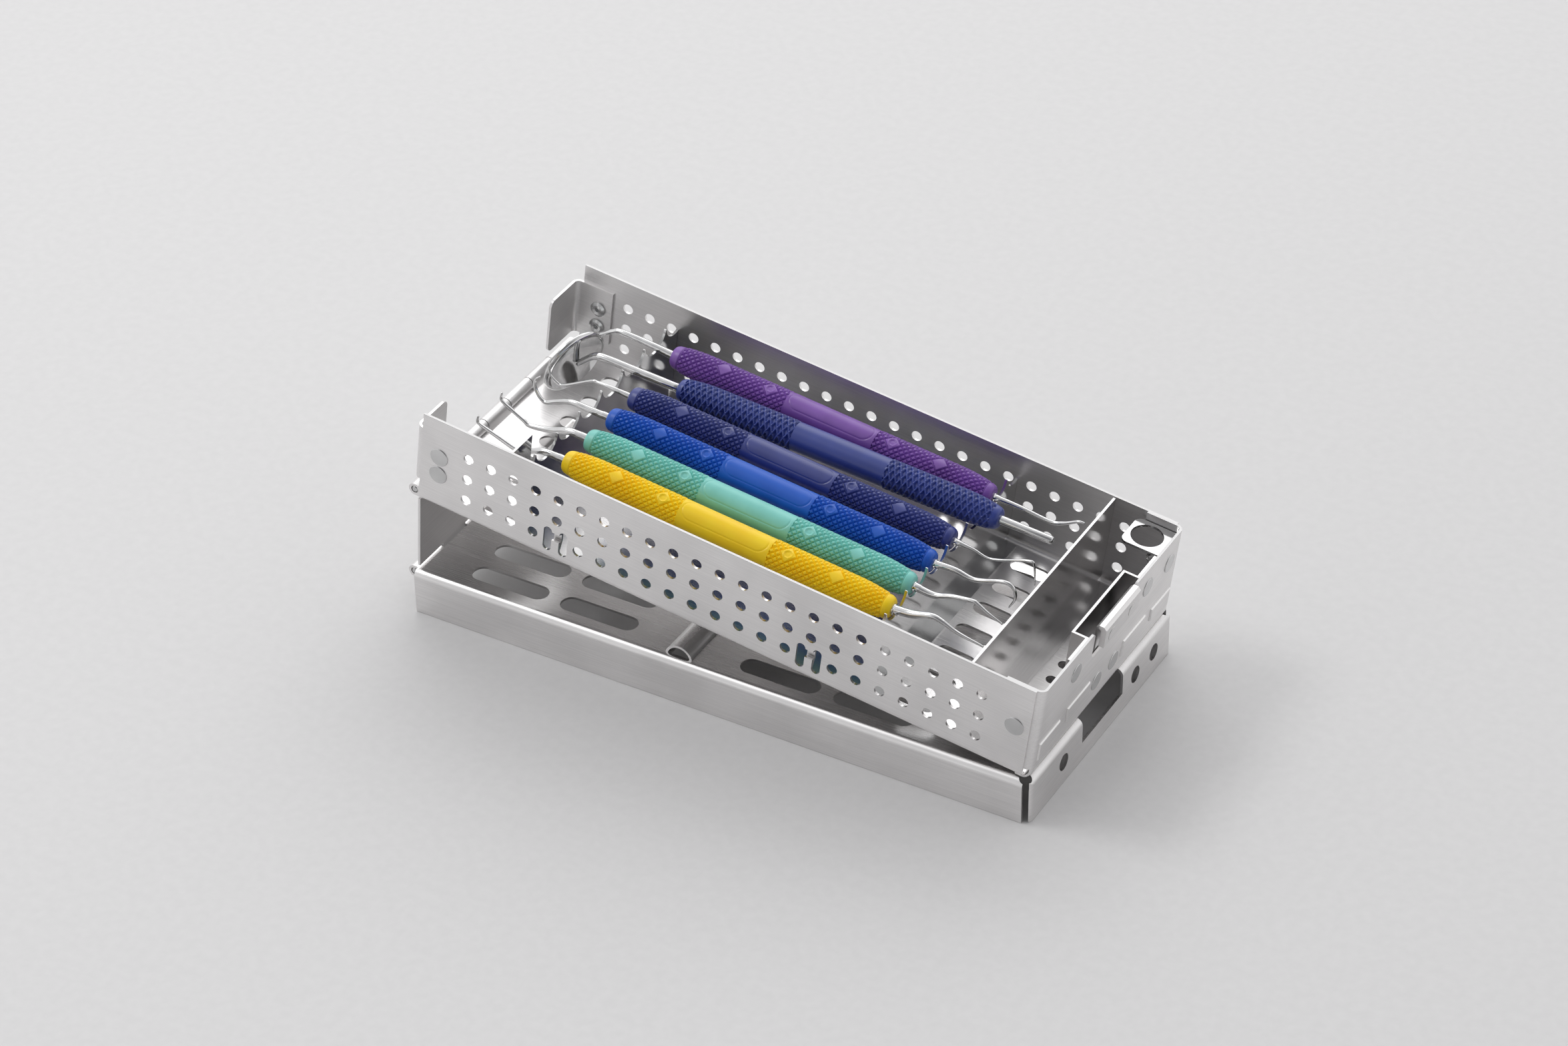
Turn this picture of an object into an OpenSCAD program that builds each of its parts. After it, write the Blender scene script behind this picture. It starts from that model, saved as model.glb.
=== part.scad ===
// Dental instrument cassette: a perforated tray on a hinged riser, standing open on its
// upturned lid, with six hand instruments lying in two combs.
// Millimetres, +Z up. The lid stands level on its rim; the tray leans down to the right.
// X runs from the hinges to the latch, Y from the front wall to the back wall.

/* [Sheet] */
// Thickness of every steel sheet
sheet = 0.8; // [0.7:0.05:0.9]
// Outer radius of the folded edges
bend_r = 2.4; // [2:0.1:2.8]

/* [Tray] */
// Length from the tray's hinge axis to the outer face of its end wall
tray_len = 213.6; // [205:1:225]
// Outer width of the tray
tray_w = 93; // [90:0.5:97]
// Height of the tray walls from the underside
tray_h = 33.7; // [32.5:0.2:35]
// Gap between the hinge axis and the left end of the walls
wall_start = 2.3; // [2.2:0.1:3]

/* [Perforations] */
// Distance between neighbouring wall holes
hole_pitch = 8; // [7.6:0.1:8.2]
// Diameter of the wall and floor holes
hole_d = 3.5; // [2.5:0.1:4]
// First column of wall holes, from the hinge axis
hole_first = 18.9; // [18.5:0.1:20]
// Lowest row of wall holes, above the underside
hole_low = 8; // [7.5:0.1:8.5]
// Number of hole columns
hole_columns = 23; // [20:1:23]
// Number of hole rows
hole_rows = 3; // [2:1:3]
// Length of a floor slot
floor_slot_l = 12.8; // [10:0.2:14]
// Width of a floor slot
floor_slot_w = 5.7; // [4:0.1:6.5]

/* [Hook windows] */
// Overall width of a pressed hook window
hook_w = 8.4; // [7.6:0.1:8.6]
// Height of a hook window
hook_h = 9; // [8:0.1:9.4]
// Width of each of its two slots
hook_slot_w = 2.9; // [2.5:0.1:3]
// How far the strip between the slots is pushed inwards
hook_depth = 1.6; // [1.2:0.1:2]

/* [Hinges] */
// Diameter of the hinge pins
pin_d = 2.4; // [2:0.1:2.6]
// Radial running clearance of the pins
pin_fit = 0.05; // [0.03:0.01:0.08]
// Distance between the two hinge axes
riser_len = 32.2; // [31.8:0.1:33.5]
// Lean of the riser to the right when the cassette stands open
riser_lean = 4.3; // [3:0.1:5]
// Set-in of the rolled hinge barrels from the tray's sides
barrel_inset = 1.3; // [1:0.1:4]
// Number of knuckles along a hinge, an odd count
knuckles = 7; // [5:2:9]
// Gap between neighbouring knuckles
knuckle_gap = 0.3; // [0.2:0.05:0.4]
// Play around the sheet where the other leaf swings through
swing_gap = 1; // [0.8:0.1:1.3]

/* [Lid] */
// Height of the lid flanges
lid_h = 15.4; // [14.5:0.1:16]
// Play between the tray walls and the lid flanges
lid_play = 0.5; // [0.4:0.05:0.8]
// Play between the end wall and the lid's end flange
lid_end_play = 0.6; // [0.55:0.05:0.9]
// Left ends of the side flanges, from the hinge axis
lid_start = 1.5; // [1:0.1:2.5]
// Length of a lid slot
lid_slot_l = 27; // [22:0.5:29]
// Width of a lid slot
lid_slot_w = 7; // [5:0.1:8]
// Distance between the two slots of a pair
lid_pair_pitch = 32; // [30:0.5:34]
// Diameter of the steam holes in the lid's end flange
steam_d = 5.6; // [4.5:0.1:6]
// Diameter of the corner relief holes
relief_d = 3.8; // [3:0.1:4.2]
// Outer width of the pressed bridges
bridge_w = 9.2; // [8:0.1:10]
// Height of the bridges
bridge_h = 3.6; // [3:0.1:4]
// Length of the bridges
bridge_l = 20; // [14:0.5:24]

/* [Combs] */
// Left comb, from the hinge axis
left_comb_x = 36.6; // [36.5:0.1:38]
// Gap between the two combs
comb_span = 120; // [118:0.5:121]
// Width of the teeth's tips
tooth_w = 0.12; // [0.1:0.02:0.3]
// Height of the valley bottoms above the tray's underside
valley_z = 24.4; // [23.5:0.1:25]
// Height of the comb tips
comb_h = 29.8; // [29.2:0.1:30.4]
// Width of the foot strips that carry the combs and the partition
foot_w = 5; // [4:0.1:5.5]

/* [Partition and rack tab] */
// Left face of the partition, from the hinge axis
partition_x = 189.7; // [186:0.5:192]
// Height of the partition and of the rack tab
partition_h = 33.4; // [31:0.1:33.6]
// Left face of the rack tab, from the hinge axis
rack_x = 32.8; // [31:0.1:33.5]
// Reach of the rack tab from the front wall
rack_reach = 10.8; // [9:0.1:11]

/* [Corner brackets] */
// Height of a bracket
bracket_h = 20; // [17:0.5:22]
// Lower edge of a bracket above the tray's underside
bracket_z = 7.6; // [6:0.1:9]
// Width of the return across the open end
bracket_return = 16; // [12:0.5:18]
// Length of the flange along the wall
bracket_flange = 14; // [12:0.5:15]

/* [Rivets] */
// Diameter of the flat outer rivet heads
rivet_head_d = 6.2; // [5:0.1:6.6]
// Height of the outer rivet heads
rivet_head_h = 0.25; // [0.2:0.05:0.3]
// Diameter of the rivet shanks
rivet_d = 3.2; // [2.8:0.1:3.4]
// Diameter of the rolled inner rivet ends
rivet_roll_d = 5.2; // [4.4:0.1:5.6]

/* [Latch] */
// Width of the latch lip
lip_w = 22.6; // [21:0.1:24]
// Height of the latch lip
lip_h = 7.5; // [6.5:0.1:7.7]
// How far the lip stands out of the end wall
lip_out = 2.4; // [2.2:0.1:2.8]
// How far the lip stands above the end wall
lip_rise = 1.5; // [1:0.1:1.7]
// Width of the notch for the lip
notch_w = 26.7; // [26.5:0.1:28]
// Depth of the lid's latch notch below its outer face
notch_h = 8.9; // [8.8:0.1:9.4]
// Height of the latch rivets above the tray's underside
latch_rivet_z = 9.4; // [9:0.1:10]
// Height of the line where the lever bends
latch_axis_z = 14.6; // [14:0.1:15.4]
// Depth of the guard channel behind the lever
guard_depth = 5.4; // [5.2:0.1:6]

/* [Ring plate] */
// Width of the ring plate
ring_w = 12.6; // [12.2:0.1:13]
// Reach of the ring plate from the end wall
ring_l = 14; // [13.6:0.1:15]
// Diameter of its hole
ring_d = 10.2; // [8:0.1:10.6]
// Height of the ring plate's top above the tray's underside
ring_z = 31; // [29:0.1:31.6]
// Height of its rivet above the tray's underside
ring_rivet_z = 24.6; // [24:0.1:25]

/* [Instruments] */
// Diameter of the handles
grip_d = 9.6; // [8:0.1:9.8]
// Diameter of the handles at their ends
grip_end_d = 7.4; // [7:0.1:9]
// Length over which a handle narrows to its end
grip_taper = 9; // [4:0.5:12]
// Diameter of the end collars' steel necks
neck_d = 4.3; // [3.8:0.1:4.6]
// Left ends of the handles, from the hinge axis
grip_start = 44.2; // [43:0.1:46]
// Diameter of the shanks beside the necks
shank_d = 3.2; // [2.6:0.1:3.3]
// Diameter of the fine ends
tip_d = 1; // [0.8:0.1:1.2]
// Reach of a working end from its handle
tip_reach = 32; // [30:0.2:33]
// Diameter of the mouth mirror's head
mirror_d = 23.4; // [20:0.1:24]
// Diameter of the mirror's stem
stem_d = 2.6; // [2.2:0.1:3]
// Left end of the mirror's handle, from the hinge axis
mirror_start = 54; // [52:0.5:56]
// Length of the mirror's handle
mirror_grip_l = 111.3; // [108:0.1:112]

/* [Hidden] */
$fn = 48;
tools = ["yellow", "teal", "blue", "navy", "purple"];

// Overrun of cuts, gap between pieces that only lie together, and play of the rivets
over = 1;
seat_gap = 0.3;
rivet_fit = 0.05;

// Hinges: a barrel is one sheet rolled round the pin
hinge_r = pin_d / 2 + pin_fit + sheet;
bore_r = pin_d / 2 + pin_fit;
barrel_l = tray_w - 2 * barrel_inset;
knuckle_l = barrel_l / knuckles;

// Open pose: the tray's rounded lower edge rests on the lid panel
riser_top_x = riser_len * sin(riser_lean);
riser_top_z = lid_h - hinge_r + riser_len * cos(riser_lean);
edge_x = tray_len - bend_r;
edge_z = bend_r - hinge_r;
edge_drop = riser_top_z - lid_h - seat_gap - bend_r;
tray_tilt = asin(edge_drop / norm([edge_x, edge_z])) + atan(edge_z / edge_x);
lip_x = tray_len + lip_out;
lip_top = tray_h + lip_rise;
lip_edge = 1;
right_x = riser_top_x + lip_x * cos(tray_tilt) + (lip_top - lip_edge - hinge_r) * sin(tray_tilt);
centre_x = (right_x - hinge_r) / 2;

// Tray
wall_y = tray_w / 2;
inner_y = wall_y - sheet;
lap_y = inner_y - sheet;
wall_end = tray_len - bend_r + rivet_fit;
lap_l = 12.3;
hook_columns = [4, 15];

// Lid
lid_len = tray_len + lid_end_play + sheet;
lid_inner_y = wall_y + lid_play;
lid_y = lid_inner_y + sheet;
lid_mid = 94.8;
lid_pair_x = 47.8;
slot_rows = 7;
lid_slot_share = 0.1376;
lid_slot_pitch = tray_w * lid_slot_share;
steam_z_share = 0.51;
steam_y_shares = [-0.53, 0.46, 0.72];

// Combs: six valleys with a tooth on either side
tools_n = len(tools) + 1;
comb_pitch_share = 0.1359;
comb_pitch = tray_w * comb_pitch_share;
valley_r = (comb_pitch - tooth_w) / 2;
comb_shift = -0.5;
right_comb_x = left_comb_x + sheet + comb_span;
grip_z = valley_z + seat_gap + neck_d / 2;
grip_end = right_comb_x - seat_gap;
function valley_y(i) = (i - (tools_n - 1) / 2) * comb_pitch + comb_shift;

// Brackets and rivets
bracket_out = 0.5;
bracket_rivet_x = 8.7;
bracket_rivet_shares = [0.275, 0.61];
rivet_roll_h = 0.9;
rivet_bore_share = 0.55;
lap_rivet_x = 206.4;
lap_rivet_z = 18;

// Latch
lever_gap = 0.3;
lever_x = tray_len - sheet - lever_gap;
foot_w_latch = 20;
foot_z = 5.2;
foot_h = latch_axis_z - sheet / 2 - lever_gap - foot_z;
latch_rivet_y = 5.6;
lip_z = lip_top - lip_h;
lip_t = 1.8;
lip_fold = 1.5;
lever_jog = 0.9;
lever_jog_h = 2;
lip_room = 1.9;
lip_weld_y = 6.5;
lip_weld_z = 2.4;
lip_weld_d = 4.2;
lip_weld_h = 0.12;
cut_w = lip_w + 2 * lip_room;
cut_depth = 10.3;
cut_z = tray_h - cut_depth;
guard_h = 24;
guard_w_share = 0.366;
guard_over_share = 0.609;
guard_w = tray_w * guard_w_share;
guard_over = tray_w * guard_over_share;
guard_edge = 4.9;
guard_rivet_y = guard_over / 2 - guard_edge;
guard_rivet_z = 25.6;

// Ring plate
ring_y = lap_y - ring_w - seat_gap;
ring_hole_x = tray_len - sheet - ring_l + ring_w / 2;
ring_tab_z = 19.6;

// Floor features
floor_slot_left_x = 23.3;
floor_slot_right_x = 170.8;
floor_hole_x = 199.2;
floor_holes = 10;
floor_slot_share = 0.13;
floor_slot_pitch = tray_w * floor_slot_share;
floor_hole_share = 0.086;
floor_hole_pitch = tray_w * floor_hole_share;

// Mouth mirror
mirror_tool = 4;
mirror_off = (valley_r - grip_d / 2 - seat_gap) / sqrt(2);
mirror_seat_left = valley_z + seat_gap + stem_d / 2;
mirror_seat_right = valley_z + valley_r - mirror_off;
mirror_run = comb_span + sheet;
mirror_rise = atan((mirror_seat_right - mirror_seat_left) / mirror_run);
mirror_yaw = atan(mirror_off / mirror_run);
mirror_wall = 0.5;
mirror_t = 1.8;
mirror_nod_angle = 78;
mirror_pan_angle = 162;
mirror_reach = 37;
mirror_drop = 6.4;
mirror_fold = 7;
mirror_bend = mirror_reach - mirror_fold;
mirror_tip = 17.8;

// Working ends: shares of tip_reach along and above the handle's axis
left_paths_shares = [
    [[0, 0], [0.22, -0.01], [0.35, -0.06], [0.47, -0.13], [0.56, -0.135], [0.74, -0.09],
     [0.9, -0.05], [0.98, -0.02], [0.98, 0.06]],
    [[0, 0], [0.21, -0.01], [0.4, -0.09], [0.63, -0.15], [0.72, -0.12], [0.86, -0.06],
     [0.97, 0], [0.97, 0.09]],
    [[0, 0], [0.24, -0.01], [0.43, -0.02], [0.6, -0.1], [0.73, -0.16], [0.83, -0.05],
     [0.84, 0.05], [0.79, 0.12]],
    [[0, 0], [0.22, 0], [0.38, -0.01], [0.46, -0.03], [0.73, -0.21], [0.82, -0.225],
     [0.91, -0.15], [0.92, -0.02], [0.84, 0.14]],
    [[0, 0], [0.3, 0.01], [0.6, 0.005], [0.69, -0.03], [0.8, -0.11], [0.9, -0.17],
     [0.97, -0.17]]];
right_paths_shares = [
    [[0, 0], [0.2, 0.04], [0.39, 0.115], [0.5, 0.11], [0.67, 0.06], [0.94, 0.035]],
    [[0, 0], [0.22, 0], [0.41, 0.08], [0.6, 0.13], [0.66, 0.12], [0.77, 0.07], [0.93, 0.02]],
    [[0, 0], [0.22, 0.03], [0.43, 0.02], [0.71, 0.14], [0.82, 0.12], [0.855, 0.01],
     [0.81, -0.12]],
    [[0, 0], [0.2, 0], [0.4, -0.02], [0.76, 0.145], [0.83, 0.12], [0.87, -0.1]],
    [[0, 0], [0.28, 0.01], [0.6, 0], [0.74, 0.05], [0.88, 0.14], [0.95, 0.155]]];
grip_colours = ["gold", "mediumturquoise", "royalblue", "midnightblue", "mediumpurple"];

// Outline of a slot with round ends, along X
module slot2d(l, w) {
    square([l - w, w], center = true);
    for (s = [-1, 1]) translate([s * (l - w) / 2, 0]) circle(d = w);
}

// A slot cut down through a level sheet whose underside is at z
module floor_cut(x, y, z, l, w) {
    translate([x, y, z - over]) linear_extrude(sheet + 2 * over) slot2d(l, w);
}

// A round hole through a sheet that faces along Y, centred on y
module y_hole(x, y, z, d) {
    translate([x, y - over - sheet, z]) rotate([-90, 0, 0])
        cylinder(d = d, h = 2 * (sheet + over));
}

// A round hole through the sheets at the end wall
module x_hole(y, z, d) {
    translate([tray_len - 2 * sheet - over, y, z]) rotate([0, 90, 0])
        cylinder(d = d, h = 2 * (sheet + over));
}

// From the tray's own frame to the open pose: its hinge axis at x 0, its underside at z 0
module tray_pose() {
    translate([riser_top_x - centre_x, 0, riser_top_z]) rotate([0, tray_tilt, 0])
        translate([0, 0, -hinge_r]) children();
}

// From the lid's own frame, with its hinge axis at x 0, to the model's frame
module lid_pose() {
    translate([-centre_x, 0, 0]) children();
}

// One leaf's knuckles along Y, round the origin: first is 0 or 1
module knuckle_row(first, r) {
    for (i = [first : 2 : knuckles - 1]) {
        a = i == 0 ? 0 : knuckle_gap / 2;
        b = i == knuckles - 1 ? 0 : knuckle_gap / 2;
        translate([0, -barrel_l / 2 + i * knuckle_l + a, 0]) rotate([-90, 0, 0])
            cylinder(r = r, h = knuckle_l - a - b);
    }
}

// The blocks beside the axis where the other leaf's knuckles turn
module knuckle_room(first, reach_low, reach_high) {
    for (i = [first : 2 : knuckles - 1]) {
        a = i == 0 ? over : knuckle_gap / 2;
        b = i == knuckles - 1 ? over : knuckle_gap / 2;
        translate([-hinge_r - swing_gap, -barrel_l / 2 + i * knuckle_l - a, -reach_low])
            cube([2 * (hinge_r + swing_gap), knuckle_l + a + b, reach_low + reach_high]);
    }
}

// Bore along both the pin's knuckles
module pin_bore(r) {
    translate([0, -barrel_l / 2 - over, 0]) rotate([-90, 0, 0])
        cylinder(r = r, h = barrel_l + 2 * over);
}

// Hinge pin with slightly domed ends
module hinge_pin() {
    dome = sheet / 2;
    translate([0, -barrel_l / 2, 0]) rotate([-90, 0, 0]) rotate_extrude()
        polygon([[0, 0], [pin_d / 2 - dome, 0], [pin_d / 2, dome],
                 [pin_d / 2, barrel_l - dome], [pin_d / 2 - dome, barrel_l], [0, barrel_l]]);
}

// Cross-section of a sheet bent up at y along both sides of the tray, drawn in Y and Z
module u_section(y, h) {
    difference() {
        bent_block(y, h, bend_r);
        translate([0, sheet]) bent_block(y - sheet, h, bend_r - sheet);
    }
}

// Solid cross-section with two round lower corners
module bent_block(y, h, r) {
    for (s = [-1, 1]) translate([s * (y - r), r]) circle(r = r);
    translate([-y + r, 0]) square([2 * (y - r), r]);
    translate([-y, r]) square([2 * y, h - r]);
}

// Lid

// Cross-section of the lid panel and its side flanges
module lid_section() {
    translate([0, lid_h]) mirror([0, 1]) intersection() {
        u_section(lid_y, lid_h);
        translate([-lid_y, 0]) square([2 * lid_y, lid_h]);
    }
}

// Lid sheet before cutting: panel, two side flanges, end flange
module lid_blank() {
    translate([lid_start, 0, 0]) rotate([90, 0, 90])
        linear_extrude(lid_len - bend_r - lid_start) lid_section();
    translate([0, -barrel_l / 2, lid_h - sheet]) cube([lid_start + over, barrel_l, sheet]);
    end_y = lid_inner_y;
    intersection() {
        translate([0, end_y, lid_h]) rotate([90, 0, 0]) linear_extrude(2 * end_y)
            end_section(lid_len, -lid_h);
        translate([lid_len - bend_r - over, 0, 0]) linear_extrude(lid_h)
            end_plan(lid_y - sheet, over + bend_r);
    }
}

// Outline in plan of an end wall with rounded corners, from x 0 to x l
module end_plan(y, l) {
    translate([0, -y]) square([l - bend_r, 2 * y]);
    translate([0, -y + bend_r]) square([l, 2 * (y - bend_r)]);
    for (s = [-1, 1]) translate([l - bend_r, s * (y - bend_r)]) circle(r = bend_r);
}

// Section in X and Z of the panel's last stretch and the bent end: up when h is above 0
module end_section(x, h) {
    flip = h < 0 ? 1 : 0;
    mirror([0, flip]) difference() {
        union() {
            translate([x - 2 * bend_r, 0]) square([bend_r, sheet]);
            translate([x - bend_r, bend_r]) circle(r = bend_r);
            translate([x - sheet, bend_r]) square([sheet, abs(h) - bend_r]);
        }
        translate([x - bend_r, bend_r]) circle(r = bend_r - sheet);
        translate([x - 2 * bend_r - over, sheet])
            square([bend_r + over, bend_r + over]);
        translate([x - 2 * bend_r - over, bend_r])
            square([2 * bend_r - sheet + over, over + bend_r]);
    }
}

// A pressed bridge: half a tube lying on the panel along Y
module bridge(y) {
    arch_r = (pow(bridge_w / 2, 2) + pow(bridge_h, 2)) / (2 * bridge_h);
    translate([lid_mid, y + bridge_l / 2, lid_h - sheet / 2]) rotate([90, 0, 0])
        linear_extrude(bridge_l) intersection() {
            translate([0, bridge_h + sheet / 2 - arch_r]) difference() {
                circle(r = arch_r);
                circle(r = arch_r - sheet);
            }
            translate([-arch_r, 0]) square([2 * arch_r, bridge_h + sheet]);
        }
}

// Cut below a bridge, where the panel's metal was pressed up
module bridge_cut(y) {
    gap_w = bridge_w - 4 * sheet;
    translate([lid_mid - gap_w / 2, y - bridge_l / 2, lid_h - sheet - over])
        cube([gap_w, bridge_l, sheet + over + sheet / 2]);
}

module lid_shell() {
    bridge_y = lid_y - bridge_l / 2 - 4 * sheet;
    color("silver") lid_pose() difference() {
        union() {
            difference() {
                lid_blank();
                for (s = [-1, 1], u = [-1, 1], v = [-1, 1], k = [0 : slot_rows - 1])
                    floor_cut(lid_mid + s * lid_pair_x + u * lid_pair_pitch / 2,
                              (k - (slot_rows - 1) / 2) * lid_slot_pitch,
                              lid_h - sheet, lid_slot_l, lid_slot_w);
                for (s = [-1, 1]) bridge_cut(s * bridge_y);
                for (s = steam_y_shares)
                    translate([lid_len - sheet - over, s * lid_y, lid_h * steam_z_share])
                        rotate([0, 90, 0]) cylinder(d = steam_d, h = sheet + 2 * over);
                translate([lid_len - 2 * bend_r, -notch_w / 2, lid_h - notch_h])
                    cube([2 * bend_r + over, notch_w, notch_h + over]);
                for (s = [-1, 1])
                    translate([lid_len - bend_r, s * (lid_y - bend_r), lid_h - bend_r - over])
                        cylinder(d = relief_d, h = bend_r + 2 * over);
                translate([0, 0, lid_h - hinge_r])
                    knuckle_room(1, hinge_r, hinge_r + over);
            }
            for (s = [-1, 1]) bridge(s * bridge_y);
            translate([0, 0, lid_h - hinge_r]) knuckle_row(0, hinge_r);
        }
        translate([0, 0, lid_h - hinge_r]) pin_bore(bore_r);
    }
}

module lower_hinge_pin() {
    color("gainsboro") lid_pose() translate([0, 0, lid_h - hinge_r]) hinge_pin();
}

// Riser

module riser_pose() {
    lid_pose() translate([0, 0, lid_h - hinge_r]) rotate([0, riser_lean, 0]) children();
}

module riser_plate() {
    color("silver") riser_pose() difference() {
        union() {
            difference() {
                translate([hinge_r - sheet, -barrel_l / 2, 0])
                    cube([sheet, barrel_l, riser_len]);
                knuckle_room(0, over, hinge_r + swing_gap);
                translate([0, 0, riser_len]) knuckle_room(0, hinge_r + swing_gap, over);
            }
            knuckle_row(1, hinge_r);
            translate([0, 0, riser_len]) knuckle_row(1, hinge_r);
        }
        pin_bore(bore_r);
        translate([0, 0, riser_len]) pin_bore(bore_r);
    }
}

module upper_hinge_pin() {
    color("gainsboro") riser_pose() translate([0, 0, riser_len]) hinge_pin();
}

// Tray

// Two upright slots with the strip between them pushed inwards, cut part
module hook_slots(x, side) {
    for (s = [-1, 1])
        translate([x + s * (hook_w - hook_slot_w) / 2, side * inner_y, hole_low])
            rotate([90, 90, 0]) linear_extrude(2 * (sheet + over), center = true)
                slot2d(hook_h, hook_slot_w);
    translate([x - hook_w / 2 + hook_slot_w / 2, side * (inner_y + sheet / 2) - sheet / 2 - over,
               hole_low])
        cube([hook_w - hook_slot_w, sheet + 2 * over, hook_h / 2 - hook_slot_w / 2]);
}

// The strip itself: flat and set in above mid-height, sloping back out below
module hook_strip(x, side) {
    half = hook_h / 2;
    top = half - hook_slot_w / 2;
    strip_w = hook_w - 2 * hook_slot_w;
    y0 = side * inner_y;
    y1 = side * (inner_y - hook_depth);
    t = side * sheet;
    translate([x - strip_w / 2, 0, hole_low]) rotate([90, 0, 90]) linear_extrude(strip_w)
        polygon([[y0, top + sheet], [y0 + t, top + sheet], [y0 + t, top], [y1 + t, top - sheet],
                 [y1 + t, 0], [y0 + t, -half], [y0, -half], [y1, -sheet / 4], [y1, top - sheet / 2],
                 [y0, top + sheet / 2]]);
}

// Sheet before cutting: floor, two side walls and the end wall with its lapped flanges
module tray_blank() {
    translate([wall_start, 0, 0]) rotate([90, 0, 90])
        linear_extrude(wall_end - wall_start) u_section(wall_y, tray_h);
    translate([0, -barrel_l / 2, 0]) cube([wall_start + over, barrel_l, sheet]);
    intersection() {
        translate([0, inner_y, 0]) rotate([90, 0, 0]) linear_extrude(2 * inner_y)
            end_section(tray_len, tray_h);
        translate([tray_len - 2 * bend_r, 0, 0]) linear_extrude(tray_h)
            end_plan(inner_y, 2 * bend_r);
    }
    lap_z = bend_r + sheet;
    translate([tray_len - lap_l, 0, lap_z]) linear_extrude(tray_h - lap_z) difference() {
        end_plan(inner_y, lap_l);
        translate([-over, 0]) end_inner_plan(lap_l - sheet + over);
    }
}

// Inner outline of the end wall in plan
module end_inner_plan(l) {
    r = bend_r - sheet;
    translate([0, -lap_y]) square([l - r, 2 * lap_y]);
    translate([0, -lap_y + r]) square([l, 2 * (lap_y - r)]);
    for (s = [-1, 1]) translate([l - r, s * (lap_y - r)]) circle(r = r);
}

module tray_shell() {
    color("silver") tray_pose() difference() {
        union() {
            difference() {
                tray_blank();
                tray_holes();
                translate([0, 0, hinge_r]) knuckle_room(1, hinge_r + over, hinge_r);
            }
            for (c = hook_columns, s = [-1, 1]) hook_strip(hole_first + c * hole_pitch, s);
            translate([0, 0, hinge_r]) knuckle_row(0, hinge_r);
        }
        translate([0, 0, hinge_r]) pin_bore(bore_r);
    }
}

// Every hole of the tray sheet
module tray_holes() {
    for (c = [0 : hole_columns - 1], r = [0 : hole_rows - 1], s = [-1, 1])
        if (r > 0 || len(search(c, hook_columns)) == 0)
            y_hole(hole_first + c * hole_pitch, s * inner_y, hole_low + r * hole_pitch, hole_d);
    for (c = hook_columns, s = [-1, 1]) hook_slots(hole_first + c * hole_pitch, s);
    for (k = [0 : slot_rows - 1], x = [floor_slot_left_x, floor_slot_right_x])
        floor_cut(x, (k - (slot_rows - 1) / 2) * floor_slot_pitch, 0, floor_slot_l, floor_slot_w);
    for (k = [0 : floor_holes - 1])
        translate([floor_hole_x, (k - (floor_holes - 1) / 2) * floor_hole_pitch, -over])
            cylinder(d = hole_d, h = sheet + 2 * over);
    lip_cut();
    for (s = [-1, 1]) {
        x_hole(s * latch_rivet_y, latch_rivet_z, rivet_d + 2 * rivet_fit);
        x_hole(s * guard_rivet_y, guard_rivet_z, rivet_d + 2 * rivet_fit);
        y_hole(lap_rivet_x, s * inner_y, lap_rivet_z, rivet_d + 2 * rivet_fit);
        for (z = bracket_rivet_shares)
            y_hole(bracket_rivet_x, s * inner_y, bracket_z + z * bracket_h,
                   rivet_d + 2 * rivet_fit);
    }
    x_hole(ring_y + ring_w / 2, ring_rivet_z, rivet_d + 2 * rivet_fit);
}

// Open notch for the lip in the end wall, its corners rounded
module lip_cut() {
    r = bend_r - sheet;
    translate([tray_len - 2 * bend_r, 0, 0]) rotate([90, 0, 90])
        linear_extrude(2 * bend_r + over) {
            translate([r - cut_w / 2, cut_z]) square([cut_w - 2 * r, tray_h]);
            translate([-cut_w / 2, cut_z + r]) square([cut_w, tray_h]);
            for (s = [-1, 1]) {
                translate([s * (cut_w / 2 - r), cut_z + r]) circle(r = r);
                difference() {
                    translate([s * cut_w / 2 - r, tray_h - r]) square(2 * r);
                    translate([s * (cut_w / 2 + r), tray_h - r]) circle(r = r);
                }
            }
        }
}

// Tubular rivet through a grip of metal, head below z 0 and rolled end above
module rivet(grip) {
    edge = rivet_head_h / 2;
    top = grip + rivet_roll_h;
    bore = rivet_d * rivet_bore_share / 2;
    rotate_extrude() polygon([[0, -rivet_head_h], [rivet_head_d / 2 - edge, -rivet_head_h],
        [rivet_head_d / 2, -edge], [rivet_head_d / 2, 0], [rivet_d / 2, 0], [rivet_d / 2, grip],
        [rivet_roll_d / 2, grip], [rivet_roll_d / 2, grip + rivet_roll_h / 2],
        [(rivet_roll_d / 2 + bore) / 2, top], [bore, top - rivet_roll_h / 4], [bore, grip],
        [0, grip]]);
}

// A rivet through a side wall, its head outside
module wall_rivet(x, side, z) {
    translate([x, side * wall_y, z]) rotate([side * 90, 0, 0]) rivet(2 * sheet);
}

// A rivet through the end wall, its head outside
module end_rivet(y, z) {
    translate([tray_len, y, z]) rotate([0, -90, 0]) rivet(2 * sheet);
}

// Angle bracket that stiffens an open corner of the tray
module corner_bracket(side) {
    mirror([0, side > 0 ? 0 : 1, 0]) difference() {
        translate([0, 0, bracket_z]) linear_extrude(bracket_h) difference() {
            bracket_plan(0);
            bracket_plan(sheet);
        }
        for (z = bracket_rivet_shares)
            y_hole(bracket_rivet_x, inner_y, bracket_z + z * bracket_h, rivet_d + 2 * rivet_fit);
        translate([-bracket_out - over, inner_y - bracket_return, bracket_z])
            return_corner(1);
        translate([-bracket_out - over, inner_y - bracket_return, bracket_z + bracket_h])
            return_corner(-1);
    }
}

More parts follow.
